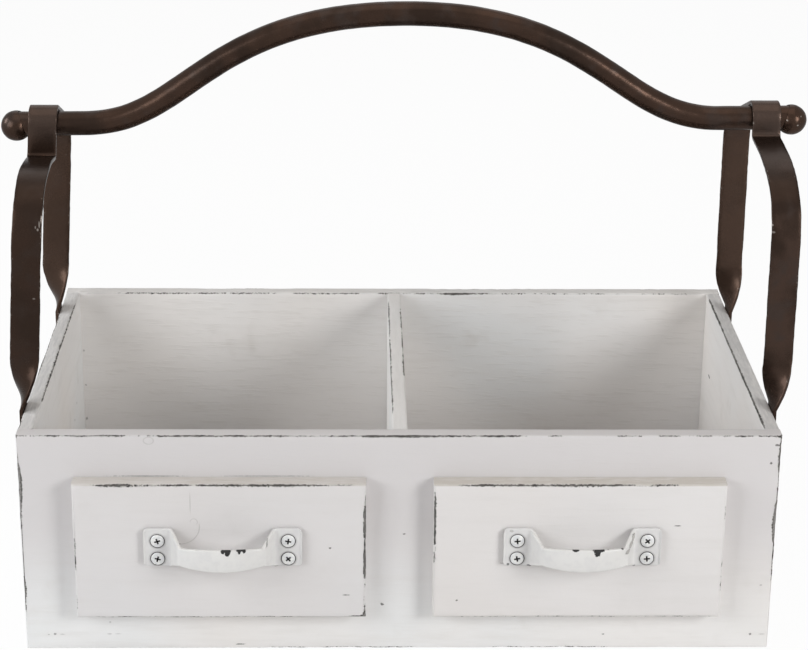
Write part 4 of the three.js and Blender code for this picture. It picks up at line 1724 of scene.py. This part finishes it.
@dataclass(frozen=True)
class Lamp:
    """A soft box: a square area light that looks at the middle of the object."""

    name: str
    azimuth: float
    height: float
    distance: float
    size: Pair
    power: float
    colour: Colour = (1.0, 1.0, 1.0)

    def build(self, target: Vector) -> None:
        """Hangs the lamp round the target."""
        light = bpy.data.lights.new(self.name, "AREA")
        light.shape = "RECTANGLE"
        light.size, light.size_y = self.size
        light.energy = self.power
        light.color = self.colour
        lamp = bpy.data.objects.new(self.name, light)
        turn, rise = math.radians(self.azimuth), math.radians(self.height)
        away = Vector((math.sin(turn) * math.cos(rise), -math.cos(turn) * math.cos(rise), math.sin(rise)))
        rotation = away.to_track_quat("Z", "Y").to_matrix().to_4x4()
        lamp.matrix_world = Matrix.Translation(target + away * self.distance) @ rotation
        bpy.context.scene.collection.objects.link(lamp)


@dataclass
class Studio:
    """The camera of the photograph, a plain pale floor and soft studio light."""

    eye: Vector = field(default_factory=lambda: millimetres(-23.5, -1182.4, 588.7))
    yaw: float = -1.33
    pitch: float = 20.62
    roll: float = 0.562
    focal_pixels: float = 2233.4
    picture_width: int = 808
    sensor: float = 36.0
    middle: Vector = field(default_factory=lambda: millimetres(0, 0, 120))
    lamps: tuple[Lamp, ...] = (
        Lamp("left_softbox", -52, 22, 1.4, (0.8, 0.8), 9.3, (0.98, 1.0, 1.02)),
        Lamp("right_softbox", 46, 22, 1.4, (0.48, 0.48), 7.7, (1.0, 1.0, 1.0)),
        Lamp("low_softbox", 40, 8, 1.4, (0.38, 0.38), 2.3, (1.01, 1.0, 0.99)),
        Lamp("side_softbox", -95, 25, 1.2, (0.36, 0.36), 3.9, (0.98, 1.0, 1.03)),
        Lamp("top_softbox", 0, 85, 1.4, (1.2, 1.2), 3.8, (1.12, 1.0, 0.88)),
        Lamp("back_softbox", 180, 42, 1.4, (1.2, 0.9), 3.2),
    )
    sky: float = 0.05
    floor_size: float = 12.0
    floor_colour: tuple[float, ...] = (0.86, 0.86, 0.86, 1.0)
    floor_white: float = 0.96

    def build(self) -> None:
        """Builds the camera, the lamps, the world and the floor."""
        self._camera()
        for lamp in self.lamps:
            lamp.build(self.middle)
        self._world()
        self._floor()
        bpy.context.scene.view_settings.view_transform = "Standard"

    def _camera(self) -> None:
        """Sets the camera where the photograph was taken from."""
        camera = bpy.data.cameras.new("camera")
        camera.sensor_width = self.sensor
        camera.lens = self.focal_pixels / self.picture_width * self.sensor
        yaw, pitch, roll = (math.radians(angle) for angle in (self.yaw, self.pitch, self.roll))
        ahead = Vector((-math.sin(yaw) * math.cos(pitch), math.cos(yaw) * math.cos(pitch), -math.sin(pitch)))
        right = Vector((math.cos(yaw), math.sin(yaw), 0))
        up = right.cross(ahead)
        turned_right = right * math.cos(roll) + up * math.sin(roll)
        turned_up = up * math.cos(roll) - right * math.sin(roll)
        rotation = Matrix((turned_right, turned_up, -ahead)).transposed().to_4x4()
        eye = bpy.data.objects.new("camera", camera)
        eye.matrix_world = Matrix.Translation(self.eye) @ rotation
        bpy.context.scene.collection.objects.link(eye)
        bpy.context.scene.camera = eye

    def _shows_background(self, graph: Graph) -> Wire:
        """1 for rays that show the background, straight or in a gloss, and 0 for light on the object."""
        path = graph.node("ShaderNodeLightPath")
        return path["Is Camera Ray"].most(path["Is Glossy Ray"]).most(path["Is Transmission Ray"])

    def _world(self) -> None:
        """A white world that lights the object softly."""
        graph = Graph(bpy.data.worlds.new("studio"))
        white = {"Color": (1, 1, 1, 1)}
        soft = graph.node("ShaderNodeBackground", white | {"Strength": self.sky})["Background"]
        seen = graph.node("ShaderNodeBackground", white | {"Strength": 1.0})["Background"]
        sockets = {0: self._shows_background(graph), 1: soft, 2: seen}
        mixed = graph.node("ShaderNodeMixShader", sockets)["Shader"]
        graph.node("ShaderNodeOutputWorld", {"Surface": mixed})
        bpy.context.scene.world = graph.owner

    def _floor(self) -> None:
        """A pale floor that shows almost white and keeps a faint shadow of the box."""
        bm = bmesh.new()
        bmesh.ops.create_grid(bm, x_segments=1, y_segments=1, size=self.floor_size / 2)
        mesh = bpy.data.meshes.new("floor")
        bm.to_mesh(mesh)
        bm.free()
        floor = bpy.data.objects.new("floor", mesh)
        bpy.context.scene.collection.objects.link(floor)
        graph = Graph.of_material("floor")
        plain = graph.node("ShaderNodeBsdfDiffuse", {"Color": self.floor_colour})["BSDF"]
        lit = graph.node("ShaderNodeEmission", {"Color": (1, 1, 1, 1), "Strength": 1.0})["Emission"]
        sockets = {0: self._shows_background(graph) * self.floor_white, 1: plain, 2: lit}
        mixed = graph.node("ShaderNodeMixShader", sockets)["Shader"]
        graph.node("ShaderNodeOutputMaterial", {"Surface": mixed})
        mesh.materials.append(graph.owner)


def build_pulls() -> None:
    """Builds the two pulls, each with the chips and rubbed places of its own."""
    bow, leg, plate = -140.0, -132.0, -126.0
    through_bow, through_plate = 14.0, 5.0
    left_chips = (
        *spots(
            bow, (-90.1, 72.9, 3.3, 1.6, 1), (-89.5, 71.4, 1.8, 2.0, 1), (-91.9, 72.0, 1.0, 1.2, 1),
            (-82.4, 72.9, 3.3, 1.3, 1), (-83.4, 71.9, 1.1, 1.5, 1), (-80.9, 71.9, 1.2, 1.2, 1),
            (-73.3, 72.7, 1.6, 0.9, 0.9), (-69.3, 73.0, 0.45, 2.8, 0.6), (-53.0, 57.2, 0.9, 1.4, 0.8),
            (-54.2, 76.6, 1.5, 0.7, 0.7), (-94, 59.5, 6.0, 0.35, 0.25), through=through_bow),
        # Marks along the plates' lower edges: painted shadow where the plates meet the panel, partly worn
        # edge.
        *spots(
            plate, (-120.8, 55.2, 2.4, 0.8, 0.8), (-65.2, 55.4, 2.0, 0.9, 0.8),
            (-135.4, 55.6, 0.8, 0.8, 0.6), through=through_plate),
    )
    right_chips = (
        *spots(
            bow, (90.7, 72.9, 2.3, 1.1, 1), (103.0, 72.9, 3.9, 1.6, 1), (102.2, 71.2, 2.0, 2.2, 1),
            (107.4, 73.0, 2.6, 0.8, 1), (113.8, 72.8, 2.8, 0.9, 1), (115.6, 72.3, 1.0, 1.1, 1),
            (136.8, 57.6, 0.7, 2.0, 0.5), (136.8, 75.4, 0.7, 1.6, 0.5), through=through_bow),
        # Marks along the plates' lower edges: painted shadow where the plates meet the panel, partly worn
        # edge.
        *spots(
            plate, (68.6, 56.0, 2.2, 0.8, 0.8), (122.8, 56.0, 2.0, 0.8, 0.7), (57.0, 56.6, 0.8, 0.9, 0.7),
            through=through_plate),
    )
    right_rubs = spots(
        leg, (122.3, 73.8, 1.2, 2.2, 0.8), (120.8, 71.0, 1.4, 2.0, 0.8), (118.6, 68.9, 1.8, 1.4, 0.8),
        (58.4, 75.8, 1.4, 0.8, 0.5), through=through_bow)
    BowPull("left", left_chips, (), (17, -15, -10, 40)).build()
    BowPull("right", right_chips, right_rubs, (5, 10, 40, 5)).build()


def build_handle() -> None:
    """Builds the two hoops and the rail that lies in them."""
    seat = RailSeat()
    bright_spots = spots(
        -76, (-186.2, 232, 0.5, 1.8, 1), (-187.0, 229.5, 0.5, 2.4, 1), (-188, 226.6, 0.5, 2.4, 1),
        (-188.8, 224.2, 0.8, 0.9, 1), (-190, 225.4, 0.5, 1.0, 0.8), (-193.6, 247.9, 0.5, 0.5, 0.7),
        (-192.3, 187, 1.0, 0.5, 0.7), (194.3, 228.2, 1.0, 0.8, 0.9), (194.9, 224.6, 1.3, 0.7, 0.8),
        (193.6, 213.5, 0.6, 2.0, 1), (206.6, 252.3, 0.5, 0.7, 1), (208.1, 249, 0.5, 0.8, 0.8),
        through=30)
    finish = ForgedIron("forged_iron", edges=True, bright_spots=bright_spots)
    # The right hoop takes a lighter and more reddish brown and no painted shade on its front legs: painted
    # light on that side.
    lit_right_iron = ForgedIron(
        "forged_iron_right", edges=True, bright_spots=bright_spots, brown=paint_colour(64, 50, 43), shade=0.0)
    left_bends = HoopBends(
        crown_lift=1.1 * MM, neck_drop=17.3 * MM, run_drop=-7.5 * MM, corner_drop=-5.5 * MM)
    right_bends = HoopBends(crown_lift=0.4 * MM, neck_drop=9 * MM, run_drop=3 * MM, corner_drop=9 * MM)
    IronHoop("left", -1, seat, left_bends, finish).build()
    IronHoop("right", 1, seat, right_bends, lit_right_iron).build()
    # Painted highlights on the right ball, where it glints in the light.
    painted_ball_highlights = spots(
        -8, (211.9, 266, 0.6, 0.7, 1), (217.7, 263.4, 0.7, 0.6, 1), (219.4, 268, 0.4, 0.5, 1), through=6)
    CarryingRail(seat, ForgedIron("forged_bar", edges=False, bright_spots=painted_ball_highlights)).build()


def main() -> None:
    """Builds the box, dresses it, lights it and points the camera."""
    logging.basicConfig(level=logging.INFO, format="%(name)s: %(message)s")
    Carcass().build()
    DrawerPanels().build()
    build_pulls()
    build_handle()
    Studio().build()


if __name__ == "__main__":
    main()
